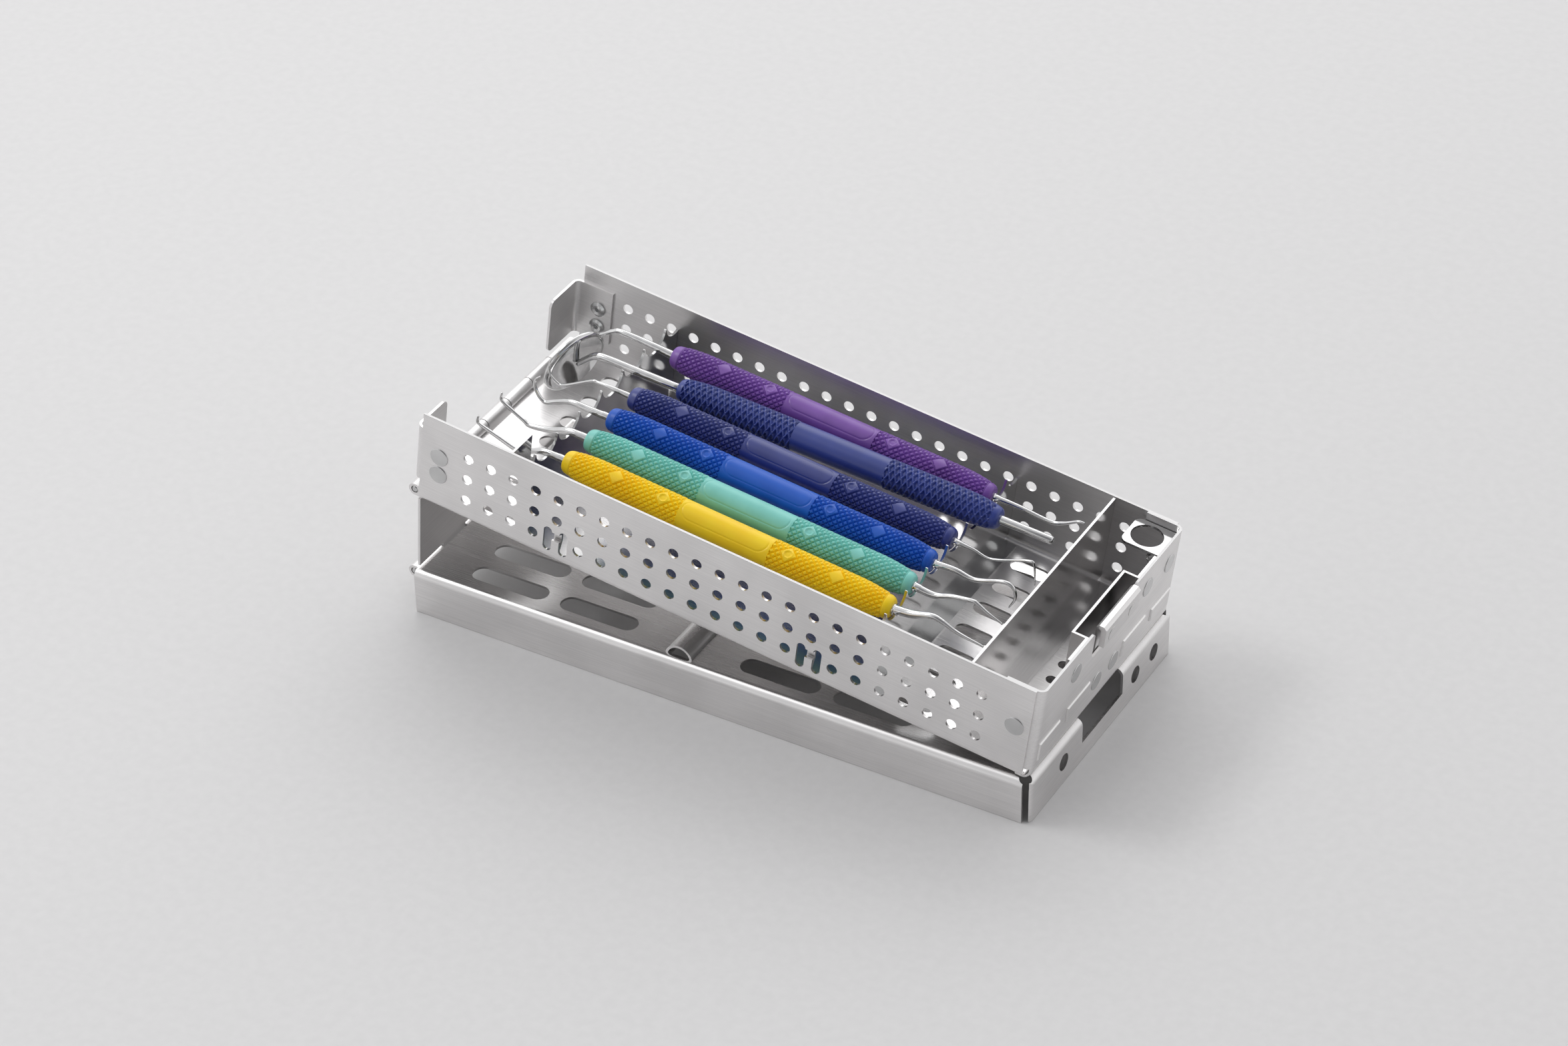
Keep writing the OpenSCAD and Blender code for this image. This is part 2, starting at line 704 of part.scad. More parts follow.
// Outline of the angle, set in by t on its outer side
module bracket_plan(t) {
    x0 = -bracket_out + t;
    y1 = inner_y - t;
    r = bend_r - t;
    l = t > 0 ? bracket_flange + over : bracket_flange;
    w = t > 0 ? bracket_return + over : bracket_return;
    translate([x0 + r, y1 - r]) circle(r = r);
    translate([x0 + r, inner_y - w]) square([l - r - t, w - t]);
    translate([x0, inner_y - w]) square([l - t, w - t - r]);
}

// Cutter that rounds a free corner of the return: up is 1 at the lower corner
module return_corner(up) {
    r = bend_r;
    translate([0, 0, up > 0 ? 0 : -r]) rotate([90, 0, 90]) linear_extrude(sheet + 2 * over)
        difference() {
            translate([-over, up > 0 ? -over : 0]) square(r + over);
            translate([r, up > 0 ? r : 0]) circle(r = r);
        }
}

module front_corner_bracket() { color("gainsboro") tray_pose() corner_bracket(-1); }
module rear_corner_bracket() { color("gainsboro") tray_pose() corner_bracket(1); }

module bracket_rivets(side) {
    color("lightgray") tray_pose() for (z = bracket_rivet_shares)
        wall_rivet(bracket_rivet_x, side, bracket_z + z * bracket_h);
}

module front_bracket_rivets() { bracket_rivets(-1); }
module rear_bracket_rivets() { bracket_rivets(1); }

module end_lap_rivets() {
    color("lightgray") tray_pose() for (s = [-1, 1]) wall_rivet(lap_rivet_x, s, lap_rivet_z);
}

// Hat-shaped channel behind the latch lever
module guard_channel() {
    x1 = tray_len - sheet;
    x0 = x1 - guard_depth;
    color("gainsboro") tray_pose() difference() {
        translate([0, 0, tray_h - guard_h]) linear_extrude(guard_h) union() {
            for (s = [-1, 1]) {
                translate([x1 - sheet, s > 0 ? guard_w / 2 : -guard_over / 2])
                    square([sheet, (guard_over - guard_w) / 2]);
                translate([x0, s > 0 ? guard_w / 2 - sheet : -guard_w / 2])
                    square([guard_depth, sheet]);
            }
            translate([x0, -guard_w / 2]) square([sheet, guard_w]);
        }
        for (s = [-1, 1]) x_hole(s * guard_rivet_y, guard_rivet_z, rivet_d + 2 * rivet_fit);
    }
}

module guard_rivets() {
    color("lightgray") tray_pose() for (s = [-1, 1]) end_rivet(s * guard_rivet_y, guard_rivet_z);
}

// Foot of the latch spring, riveted to the end wall
module latch_foot() {
    color("gainsboro") tray_pose() difference() {
        translate([tray_len - 2 * sheet, -foot_w_latch / 2, foot_z])
            cube([sheet, foot_w_latch, foot_h]);
        for (s = [-1, 1])
            x_hole(s * latch_rivet_y, latch_rivet_z, rivet_d + 2 * rivet_fit);
    }
}

// Spring lever with its folded lip, which is pushed inwards to free the lid
module latch_lever() {
    color("gainsboro") tray_pose() {
        translate([lever_x - sheet / 2, lip_w / 2, latch_axis_z]) rotate([90, 0, 0])
            cylinder(d = sheet, h = lip_w);
        translate([0, lip_w / 2, 0]) rotate([90, 0, 0]) linear_extrude(lip_w) lever_section();
        for (s = [-1, 1]) translate([lip_x, s * lip_weld_y, lip_z + lip_weld_z])
            rotate([0, 90, 0]) cylinder(d = lip_weld_d, h = lip_weld_h);
    }
}

// Side outline of the lever: up behind the wall, out into the notch and folded over
module lever_section() {
    x0 = lever_x - sheet;
    x1 = x0 + lever_jog;
    jog_z = cut_z + lever_jog;
    polygon([[x0, latch_axis_z], [x0, jog_z], [x1, jog_z + lever_jog_h], [x1, lip_top - lip_edge],
             [x1 + lever_jog, lip_top], [lip_x - lip_edge, lip_top], [lip_x, lip_top - lip_edge],
             [lip_x, lip_z], [lip_x - lip_t, lip_z], [lip_x - lip_t, lip_top - lip_fold],
             [x1 + sheet, lip_top - lip_fold], [x1 + sheet, jog_z + lever_jog_h - lever_gap],
             [lever_x, jog_z - lever_gap], [lever_x, latch_axis_z]]);
}

module latch_rivets() {
    color("lightgray") tray_pose() for (s = [-1, 1]) end_rivet(s * latch_rivet_y, latch_rivet_z);
}

// Small plate with a ring hole, held to the end wall by its bent tab
module ring_plate() {
    x1 = tray_len - sheet;
    r = bend_r;
    corner_y = bend_r - sheet - seat_gap;
    corner_x = bend_r - sheet - sqrt(pow(bend_r - sheet, 2) - pow(corner_y, 2)) + rivet_fit;
    color("gainsboro") tray_pose() difference() {
        union() {
            translate([0, 0, ring_z - sheet]) linear_extrude(sheet) difference() {
                union() {
                    translate([0, ring_y]) polygon([[x1 - ring_l + r, 0], [x1, 0],
                        [x1, ring_w - corner_y], [x1 - corner_x, ring_w],
                        [x1 - ring_l + r, ring_w]]);
                    translate([x1 - ring_l, ring_y + r]) square([r, ring_w - 2 * r]);
                    for (y = [r, ring_w - r])
                        translate([x1 - ring_l + r, ring_y + y]) circle(r = r);
                }
                translate([ring_hole_x, ring_y + ring_w / 2]) circle(d = ring_d);
            }
            translate([x1 - sheet, ring_y, ring_tab_z])
                cube([sheet, ring_w - corner_y - rivet_fit, ring_z - ring_tab_z]);
        }
        x_hole(ring_y + ring_w / 2, ring_rivet_z, rivet_d + 2 * rivet_fit);
    }
}

module ring_plate_rivet() {
    color("lightgray") tray_pose() end_rivet(ring_y + ring_w / 2, ring_rivet_z);
}

// Comb with scalloped valleys, on a bent foot
module comb(x, foot_x, foot_l) {
    w = inner_y - bend_r;
    difference() {
        union() {
            translate([x, -inner_y + rivet_fit, bend_r])
                cube([sheet, 2 * (inner_y - rivet_fit), comb_h - bend_r]);
            translate([x, -w, sheet]) cube([sheet, 2 * w, bend_r]);
            translate([foot_x, -w, sheet]) cube([foot_l, 2 * w, sheet]);
        }
        for (i = [-1 : tools_n])
            translate([x - over, valley_y(i), valley_z + valley_r]) rotate([0, 90, 0])
                cylinder(r = valley_r, h = sheet + 2 * over);
    }
}

module left_comb() {
    foot_x = rack_x + sheet + seat_gap;
    color("gray") tray_pose() comb(left_comb_x, foot_x, left_comb_x + sheet - foot_x);
}

module right_comb() { color("gray") tray_pose() comb(right_comb_x, right_comb_x, foot_w); }

// Wall of the accessory compartment
module partition() {
    color("gainsboro") tray_pose() {
        translate([partition_x, -inner_y + rivet_fit, bend_r])
            cube([sheet, 2 * (inner_y - rivet_fit), partition_h - bend_r]);
        translate([partition_x, -inner_y + bend_r, sheet])
            cube([sheet, 2 * (inner_y - bend_r), bend_r]);
        translate([partition_x, -inner_y + bend_r, sheet])
            cube([foot_w, 2 * (inner_y - bend_r), sheet]);
    }
}

// Arched tab beside the left comb, bent from a flange on the front wall
module front_rack_tab() {
    arch_r = rack_reach - foot_w / 2;
    arch_z = partition_h - foot_w - arch_r;
    y0 = -inner_y + rivet_fit;
    color("gainsboro") tray_pose() {
        difference() {
            translate([rack_x, y0, sheet + bend_r])
                cube([sheet, rack_reach, partition_h - sheet - bend_r]);
            translate([rack_x - over, y0, arch_z]) rotate([0, 90, 0])
                cylinder(r = arch_r, h = sheet + 2 * over);
            translate([rack_x - over, y0 - over, 0])
                cube([sheet + 2 * over, arch_r + over, arch_z]);
        }
        translate([rack_x, -inner_y + rack_reach - foot_w / 2, sheet])
            cube([sheet, foot_w / 2, 2 * bend_r]);
        translate([rack_x - foot_w, -inner_y + rack_reach - foot_w / 2, sheet])
            cube([foot_w + sheet, foot_w / 2, sheet]);
        translate([rack_x - 2 * foot_w, y0, partition_h - foot_w])
            cube([2 * foot_w, sheet, foot_w]);
    }
}

// Instruments

// Handle profile along its axis: narrowed collars, ringed grip zones and a smooth middle
module handle(l) {
    groove = sheet / 4;
    rings = 14;
    zone_share = 0.3;
    zone = l * zone_share;
    collar = sheet * 3;
    step = (zone - collar) / rings;
    function swell(x) = let (left = max(0, 1 - x / grip_taper))
        grip_d / 2 - (grip_d - grip_end_d) / 2 * left * left;
    half = concat([[0, swell(0) - collar / 3], [collar / 4, swell(collar / 4) - groove],
                   [collar / 2, swell(collar / 2)]],
        [for (i = [0 : rings - 1]) each [[collar + i * step, swell(collar + i * step)],
            [collar + (i + 0.5) * step, swell(collar + (i + 0.5) * step) - groove]]],
        [[zone, grip_d / 2]]);
    last = len(half) - 1;
    outline = concat([[0, 0]], [for (p = half) [p[1], p[0]]],
        [for (i = [last : -1 : 0]) [half[i][1], l - half[i][0]]], [[0, l]]);
    rotate([0, 90, 0]) rotate_extrude() polygon(outline);
}

// Tube of eight sides through points in the X-Z plane, with a radius at each point
module swept_shank(points, radii) {
    sides = 8;
    n = len(points);
    function heading(i) = let (a = points[max(i - 1, 0)], b = points[min(i + 1, n - 1)], d = b - a)
        d / norm(d);
    rings = [for (i = [0 : n - 1]) let (t = heading(i), up = [-t[1], t[0]])
        for (k = [0 : sides - 1]) let (a = 360 * (k + 0.5) / sides, r = radii[i])
            [points[i][0] + up[0] * r * sin(a), r * cos(a), points[i][1] + up[1] * r * sin(a)]];
    skin = [for (i = [0 : n - 2], k = [0 : sides - 1])
        let (j = (k + 1) % sides, a = i * sides, b = a + sides) each
        [[a + k, b + k, b + j], [a + k, b + j, a + j]]];
    caps = concat([for (k = [1 : sides - 2]) [0, k, k + 1]],
        [for (k = [1 : sides - 2]) let (a = (n - 1) * sides) [a, a + k + 1, a + k]]);
    polyhedron(rings, concat(skin, caps));
}

// Radii: a stout neck beside the handle, then the shank tapers to a fine end
neck_share = 0.1;
stout_share = 0.3;
neck_fill_share = 0.45;
slender_share = 0.7;
function taper(shares, i) = shares[i][0] < neck_share ? neck_d * neck_fill_share
    : shares[i][0] < stout_share ? shank_d / 2
    : tip_d / 2 + (shank_d / 2 - tip_d / 2) * max(0, 1 - shares[i][0]) * slender_share;

// One working end: a round neck, and the shank bent to its own path
module working_end(shares, side) {
    neck_l = 4 * sheet;
    points = [for (p = shares) [side * (p[0] * tip_reach + (p[0] > 0 ? 0 : neck_l / 2)),
                                p[1] * tip_reach]];
    radii = [for (i = [0 : len(shares) - 1]) taper(shares, i)];
    rotate([0, side * 90, 0]) cylinder(d = neck_d, h = neck_l);
    mirror([side > 0 ? 0 : 1, 0, 0]) swept_shank([for (p = points) [abs(p[0]), p[1]]], radii);
}

module tool_handle(i) {
    color(grip_colours[i]) tray_pose() translate([grip_start, tool_y(i), grip_z])
        handle(grip_end - grip_start);
}

module tool_left_end(i) {
    color("lightgray") tray_pose() translate([grip_start, tool_y(i), grip_z])
        working_end(left_paths_shares[i], -1);
}

module tool_right_end(i) {
    color("lightgray") tray_pose() translate([grip_end, tool_y(i), grip_z])
        working_end(right_paths_shares[i], 1);
}

// The mirror takes the fifth valley, so the last tool lies in the sixth
function tool_y(i) = valley_y(i < mirror_tool ? i : i + 1);

// Axis of the mirror's handle: from its seat in the left comb to the one in the right comb
module mirror_pose() {
    translate([left_comb_x, valley_y(mirror_tool), mirror_seat_left])
        rotate([0, -mirror_rise, mirror_yaw]) children();
}

module mirror_handle() {
    color("midnightblue") tray_pose() mirror_pose() {
        translate([mirror_start - left_comb_x, 0, 0]) handle(mirror_grip_l);
        translate([mirror_start - left_comb_x + mirror_grip_l, 0, 0]) rotate([0, 90, 0])
            cylinder(d = stem_d, h = mirror_tip);
    }
}

// Frame of the mirror's head: its back faces the handle, its glass faces +Z
module mirror_head_pose() {
    translate([mirror_start - left_comb_x - mirror_reach, 0, -mirror_drop])
        rotate([0, mirror_nod_angle, mirror_pan_angle]) children();
}

// Stem bent down to the middle of the head's back, and the cup that holds the glass
module mirror_head() {
    r = mirror_d / 2;
    boss = stem_d / 2;
    fold = stem_d;
    color("lightgray") tray_pose() mirror_pose() {
        translate([mirror_start - left_comb_x, 0, 0]) mirror([1, 0, 0]) swept_shank(
            [[0, 0], [mirror_bend - fold, 0], [mirror_bend, -fold / 4],
             [mirror_bend + fold / 2, -fold * 0.6], [mirror_reach - boss / 2, -mirror_drop + boss / 4]],
            [for (i = [0 : 4]) stem_d / 2]);
        mirror_head_pose() {
            translate([0, 0, -boss]) cylinder(r1 = boss, r2 = 2 * boss, h = boss);
            rotate_extrude() polygon([[0, 0], [r - mirror_wall, 0], [r, mirror_wall],
                [r, mirror_t], [r - mirror_wall, mirror_t], [r - mirror_wall, mirror_wall],
                [0, mirror_wall]]);
        }
    }
}

module mirror_glass() {
    color("azure") tray_pose() mirror_pose() mirror_head_pose()
        translate([0, 0, mirror_wall])
            cylinder(r = mirror_d / 2 - mirror_wall - rivet_fit, h = mirror_t / 2);
}

lid_shell();
lower_hinge_pin();
upper_hinge_pin();
riser_plate();
tray_shell();
front_corner_bracket();
rear_corner_bracket();
front_bracket_rivets();
rear_bracket_rivets();
end_lap_rivets();
guard_channel();
guard_rivets();
latch_foot();
latch_lever();
latch_rivets();
ring_plate();
ring_plate_rivet();
left_comb();
right_comb();
partition();
front_rack_tab();
mirror_handle();
mirror_head();
mirror_glass();
for (i = [0 : len(tools) - 1]) {
    tool_handle(i);
    tool_left_end(i);
    tool_right_end(i);
}
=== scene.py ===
# %% [markdown]
# # A dental instrument cassette, dressed for the camera
# The cassette is a folded stainless steel tray that leans on its upturned lid. Six hand
# instruments lie across two combs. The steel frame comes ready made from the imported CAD
# model, so this script only adds what CAD is poor at: brushed metal, moulded handles with
# raised diamonds, and shanks that are bent and ground by hand.

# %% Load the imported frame
import math

import bmesh
import bpy
import numpy as np
from mathutils import Matrix, Vector


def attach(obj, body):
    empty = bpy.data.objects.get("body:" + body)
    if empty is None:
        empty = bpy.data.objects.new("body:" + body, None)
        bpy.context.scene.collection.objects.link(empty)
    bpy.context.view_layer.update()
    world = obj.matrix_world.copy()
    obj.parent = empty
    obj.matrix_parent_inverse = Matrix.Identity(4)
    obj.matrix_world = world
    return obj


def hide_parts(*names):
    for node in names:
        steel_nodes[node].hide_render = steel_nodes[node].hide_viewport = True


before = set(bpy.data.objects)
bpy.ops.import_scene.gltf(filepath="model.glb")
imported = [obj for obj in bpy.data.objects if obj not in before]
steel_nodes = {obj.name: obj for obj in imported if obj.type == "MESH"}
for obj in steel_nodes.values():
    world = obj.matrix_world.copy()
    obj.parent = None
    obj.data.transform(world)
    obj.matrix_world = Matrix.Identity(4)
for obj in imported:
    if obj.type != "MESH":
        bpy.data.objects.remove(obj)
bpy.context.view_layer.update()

# %% [markdown]
# ## The tray's own frame
# The tray leans, so its parts are easier to place in a frame that leans with it. Its origin
# is the upper hinge pin, X runs along the tray and Z stands square to its floor. One matrix
# takes a point in millimetres from there to the scene, which is in metres.

# %% Tray frame
LEAN = math.radians(7.538)
HINGE_RADIUS = 2.05
UPPER_PIN = Vector((-106.943, 0.0, 45.459))
TRAY_LENGTH, TRAY_HEIGHT = 213.6, 33.7
METRES = 0.001


def tray_frame():
    turn = Matrix.Rotation(LEAN, 4, "Y")
    seat = Matrix.Translation((0, 0, -HINGE_RADIUS))
    return Matrix.Scale(METRES, 4) @ Matrix.Translation(UPPER_PIN) @ turn @ seat


TRAY = tray_frame()
far_end = TRAY @ Vector((TRAY_LENGTH, 0, 0))
print("far end of the tray floor:", [round(v, 4) for v in far_end])

# %% [markdown]
# ## Node wiring
# Every finish here is procedural, so each one is a small network of nodes. These few helpers
# keep the wiring short: add a node, set its sockets, and link one socket to another.

# %% Helpers for materials
MIX_A, MIX_B, MIX_RESULT = 6, 7, 2


def add_node(tree, kind, settings=None, **sockets):
    node = tree.nodes.new(kind)
    for key, value in (settings or {}).items():
        setattr(node, key, value)
    for key, value in sockets.items():
        node.inputs[key.replace("_", " ")].default_value = value
    return node


def wire(tree, source, output, target, socket):
    tree.links.new(source.outputs[output], target.inputs[socket])


def new_finish(name):
    finish = bpy.data.materials.new(name)
    finish.use_nodes = True
    tree = finish.node_tree
    tree.nodes.clear()
    shader = tree.nodes.new("ShaderNodeBsdfPrincipled")
    output = tree.nodes.new("ShaderNodeOutputMaterial")
    wire(tree, shader, "BSDF", output, "Surface")
    return finish, tree, shader


def ramp(tree, low, high, start=0.3, end=0.7):
    node = tree.nodes.new("ShaderNodeValToRGB")
    node.color_ramp.elements[0].position = start
    node.color_ramp.elements[1].position = end
    node.color_ramp.elements[0].color = low
    node.color_ramp.elements[1].color = high
    return node


def map_range(tree, to_min=0.0, to_max=1.0, from_min=0.0, from_max=1.0):
    node = tree.nodes.new("ShaderNodeMapRange")
    node.inputs["From Min"].default_value = from_min
    node.inputs["From Max"].default_value = from_max
    node.inputs["To Min"].default_value = to_min
    node.inputs["To Max"].default_value = to_max
    return node


def combine(tree, kind, operation, first, second):
    """A math or vector math node fed by two sockets."""
    node = add_node(tree, kind, {"operation": operation})
    tree.links.new(first, node.inputs[0])
    tree.links.new(second, node.inputs[1])
    return node


def multiply_colours(tree, first, second):
    node = add_node(tree, "ShaderNodeMix", {"data_type": "RGBA", "blend_type": "MULTIPLY"})
    node.inputs["Factor"].default_value = 1.0
    tree.links.new(first, node.inputs[MIX_A])
    tree.links.new(second, node.inputs[MIX_B])
    return node


def grey(value):
    return (value, value * 0.992, value * 0.99, 1.0)


def put_on(piece, finish):
    piece.data.materials.clear()
    piece.data.materials.append(finish)


# %% [markdown]
# ## Brushed sheet
# Rolled stainless sheet has fine straight scratches along its length. They are far too small
# for mesh, and a noise stretched about seventy-five times along the grain gives them for
# nothing. The same streaks drive colour, roughness and a very low bump. A second, broad
# noise adds the faint clouds that handling and washing leave. The sheared edge above the rim
# is darker and duller, and a surface that faces up can be glossier.

# %% Brushed steel
ACROSS, ALONG = 3400.0, 45.0
SIDEWAYS_FROM, SIDEWAYS_TO = 0.6, 0.7
UPWARD_FROM, UPWARD_TO = 0.9, 0.97
EDGE_TONE, EDGE_ROUGHNESS = 0.8, 1.4
NO_RIM = 1.0


def brushed_sheet(name, lean, tone, gloss, grain="X", depth=0.25, floor_gloss=None, rim=NO_RIM):
    finish, tree, shader = new_finish(name)
    place = tree.nodes.new("ShaderNodeTexCoord")
    turn = add_node(tree, "ShaderNodeMapping", {"vector_type": "POINT"})
    turn.inputs["Rotation"].default_value = (0, -lean, 0)
    wire(tree, place, "Object", turn, "Vector")
    facing = tree.nodes.new("ShaderNodeNewGeometry")
    split = tree.nodes.new("ShaderNodeSeparateXYZ")
    wire(tree, facing, "True Normal", split, "Vector")
    scales = tree.nodes.new("ShaderNodeCombineXYZ")
    scales.inputs["X"].default_value = ALONG if grain == "X" else ACROSS
    scales.inputs["Y"].default_value = ALONG
    if grain == "X":
        sideways = add_node(tree, "ShaderNodeMath", {"operation": "ABSOLUTE"})
        tree.links.new(split.outputs["X"], sideways.inputs[0])
        y_scale = map_range(tree, ACROSS, ALONG, SIDEWAYS_FROM, SIDEWAYS_TO)
        wire(tree, sideways, "Value", y_scale, "Value")
        wire(tree, y_scale, "Result", scales, "Y")
    scales.inputs["Z"].default_value = ACROSS
    stretch = combine(tree, "ShaderNodeVectorMath", "MULTIPLY",
                      turn.outputs["Vector"], scales.outputs["Vector"])
    streaks = add_node(tree, "ShaderNodeTexNoise", Scale=1.0, Detail=5.0, Roughness=0.65)
    wire(tree, stretch, "Vector", streaks, "Vector")
    clouds = add_node(tree, "ShaderNodeTexNoise", Scale=34.0, Detail=3.0, Roughness=0.5)
    wire(tree, turn, "Vector", clouds, "Vector")
    light = ramp(tree, grey(tone * 0.94), grey(tone * 1.04), 0.35, 0.65)
    wire(tree, streaks, "Fac", light, "Fac")
    broad = ramp(tree, grey(0.9), grey(1.0), 0.35, 0.62)
    wire(tree, clouds, "Fac", broad, "Fac")
    tint = multiply_colours(tree, light.outputs["Color"], broad.outputs["Color"])
    height = tree.nodes.new("ShaderNodeSeparateXYZ")
    wire(tree, turn, "Vector", height, "Vector")
    edge = map_range(tree, from_min=rim - 0.0003, from_max=rim - 0.0001)
    wire(tree, height, "Z", edge, "Value")
    sheared = add_node(tree, "ShaderNodeMix", {"data_type": "RGBA", "blend_type": "MIX"})
    tree.links.new(edge.outputs["Result"], sheared.inputs["Factor"])
    tree.links.new(tint.outputs[MIX_RESULT], sheared.inputs[MIX_A])
    sheared.inputs[MIX_B].default_value = grey(tone * EDGE_TONE)
    tree.links.new(sheared.outputs[MIX_RESULT], shader.inputs["Base Color"])
    rough = map_range(tree, gloss - 0.07, gloss + 0.09)
    wire(tree, streaks, "Fac", rough, "Value")
    upward = map_range(tree, 1.0, (floor_gloss or gloss) / gloss, UPWARD_FROM, UPWARD_TO)
    wire(tree, split, "Z", upward, "Value")
    rougher = add_node(tree, "ShaderNodeMath", {"operation": "MULTIPLY"})
    tree.links.new(edge.outputs["Result"], rougher.inputs[0])
    rougher.inputs[1].default_value = EDGE_ROUGHNESS
    satin = combine(tree, "ShaderNodeMath", "MAXIMUM",
                    upward.outputs["Result"], rougher.outputs["Value"])
    sheen = combine(tree, "ShaderNodeMath", "MULTIPLY",
                    rough.outputs["Result"], satin.outputs["Value"])
    tree.links.new(sheen.outputs["Value"], shader.inputs["Roughness"])
    bump = add_node(tree, "ShaderNodeBump", Strength=depth, Distance=0.00003)
    wire(tree, streaks, "Fac", bump, "Height")
    wire(tree, bump, "Normal", shader, "Normal")
    shader.inputs["Metallic"].default_value = 1.0
    return finish


UNTURN = Matrix.Rotation(-LEAN, 3, "Y")
TRAY_RIM = (UNTURN @ (TRAY @ Vector((100, 0, TRAY_HEIGHT)))).z
print("tray's rim before its lean:", round(TRAY_RIM, 4))
tray_steel = brushed_sheet("tray_brushed_steel", LEAN, 0.84, 0.38, floor_gloss=0.25, rim=TRAY_RIM)
lid_steel = brushed_sheet("lid_brushed_steel", 0.0, 0.80, 0.38, floor_gloss=0.26)
riser_steel = brushed_sheet("riser_brushed_steel", 0.0, 0.82, 0.38, grain="Y")
cross_steel = brushed_sheet("cross_brushed_steel", LEAN, 0.62, 0.15, grain="Y", depth=0.08)
lever_steel = brushed_sheet("lever_brushed_steel", LEAN, 0.78, 0.34, grain="Y")
print("brushed finishes:", [m.name for m in bpy.data.materials])

# %% [markdown]
# ## Bright steel
# The combs, rivets, hinge pins and shanks are polished instead. Polished steel still shows
# faint turning marks and a slightly uneven gloss, which keeps its reflections alive.

# %% Polished steel


def bright_steel(name, tone, gloss, scratch=900.0):
    finish, tree, shader = new_finish(name)
    place = tree.nodes.new("ShaderNodeTexCoord")
    noise = add_node(tree, "ShaderNodeTexNoise", Scale=scratch, Detail=4.0, Roughness=0.6)
    wire(tree, place, "Object", noise, "Vector")
    haze = add_node(tree, "ShaderNodeTexNoise", Scale=scratch / 9, Detail=2.0)
    wire(tree, place, "Object", haze, "Vector")
    dark, pale = tone * 0.9, tone * 1.05
    light = ramp(tree, (dark, dark, dark, 1), (pale, pale, pale, 1))
    wire(tree, haze, "Fac", light, "Fac")
    wire(tree, light, "Color", shader, "Base Color")
    rough = map_range(tree, gloss * 0.7, gloss * 1.3)
    wire(tree, haze, "Fac", rough, "Value")
    wire(tree, rough, "Result", shader, "Roughness")
    bump = add_node(tree, "ShaderNodeBump", Strength=0.12, Distance=0.00002)
    wire(tree, noise, "Fac", bump, "Height")
    wire(tree, bump, "Normal", shader, "Normal")
    shader.inputs["Metallic"].default_value = 1.0
    return finish


comb_steel = bright_steel("comb_polished_steel", 0.56, 0.12)
rivet_steel = bright_steel("rivet_steel", 0.60, 0.24, 1500.0)
pin_steel = bright_steel("hinge_pin_steel", 0.58, 0.20)
shank_steel = bright_steel("shank_steel", 0.72, 0.13, 2200.0)

finishes_by_node = {
    "tray_shell": tray_steel,
    "lid_shell": lid_steel,
    "riser_plate": riser_steel,
    "front_corner_bracket": tray_steel,
    "rear_corner_bracket": tray_steel,
    "guard_channel": cross_steel,
    "partition": cross_steel,
    "latch_foot": comb_steel,
    "latch_lever": lever_steel,
    "ring_plate": comb_steel,
    "left_comb": comb_steel,
    "right_comb": comb_steel,
    "front_rack_tab": comb_steel,
    "lower_hinge_pin": pin_steel,
    "upper_hinge_pin": pin_steel,
    "front_bracket_rivets": rivet_steel,
    "rear_bracket_rivets": rivet_steel,
    "end_lap_rivets": rivet_steel,
    "guard_rivets": rivet_steel,
    "latch_rivets": rivet_steel,
    "ring_plate_rivet": rivet_steel,
}
for node_name, finish in finishes_by_node.items():
    put_on(steel_nodes[node_name], finish)
print("steel finish put on", len(finishes_by_node), "nodes")

# %% [markdown]
# ## Moulded handles: the pattern
# A handle is cast in coloured resin. Its grip zones carry small flat-topped pyramids between
# two families of grooves that wind round at forty-five degrees. Each zone also has one plain
# diamond and one diamond with a dimple. A texture would only fake the outline, so the
# pattern is real relief: a function gives the height of the surface at any place along and
# around the handle, and the mesh follows it.

# %% Relief of a pyramid handle
GRIP_RADIUS = 4.8
PITCH = 2.05
STARTS = 14
GROOVE = 0.7
FLAT = 0.55
ISLANDS = ((19.4, False), (34.0, True))
ISLAND_REACH, ISLAND_DROP = 1.5, 0.08
DIMPLE_DEPTH, DIMPLE_RADIUS, DIMPLE_SOFT, DIMPLE_EDGE = 0.28, 1.25, 0.45, 1.7
LIP_HEIGHT, LIP_RADIUS, LIP_WIDTH = 0.10, 1.35, 0.16
FRAME_INSET, FRAME_RADIUS, FRAME_WIDTH, FRAME_DEPTH = 4.4, 3.4, 0.22, 0.13


def saw(value):
    return np.abs(2 * (value - np.floor(value)) - 1)


def smooth_step(value, low, high):
    t = np.clip((value - low) / (high - low), 0, 1)
    return t * t * (3 - 2 * t)


def pyramid_relief(x, turn):
    a = x / PITCH + turn * STARTS
    b = x / PITCH - turn * STARTS
    height = np.minimum(saw(a), saw(b))
    return -GROOVE * (1 - np.clip(height / FLAT, 0, 1))


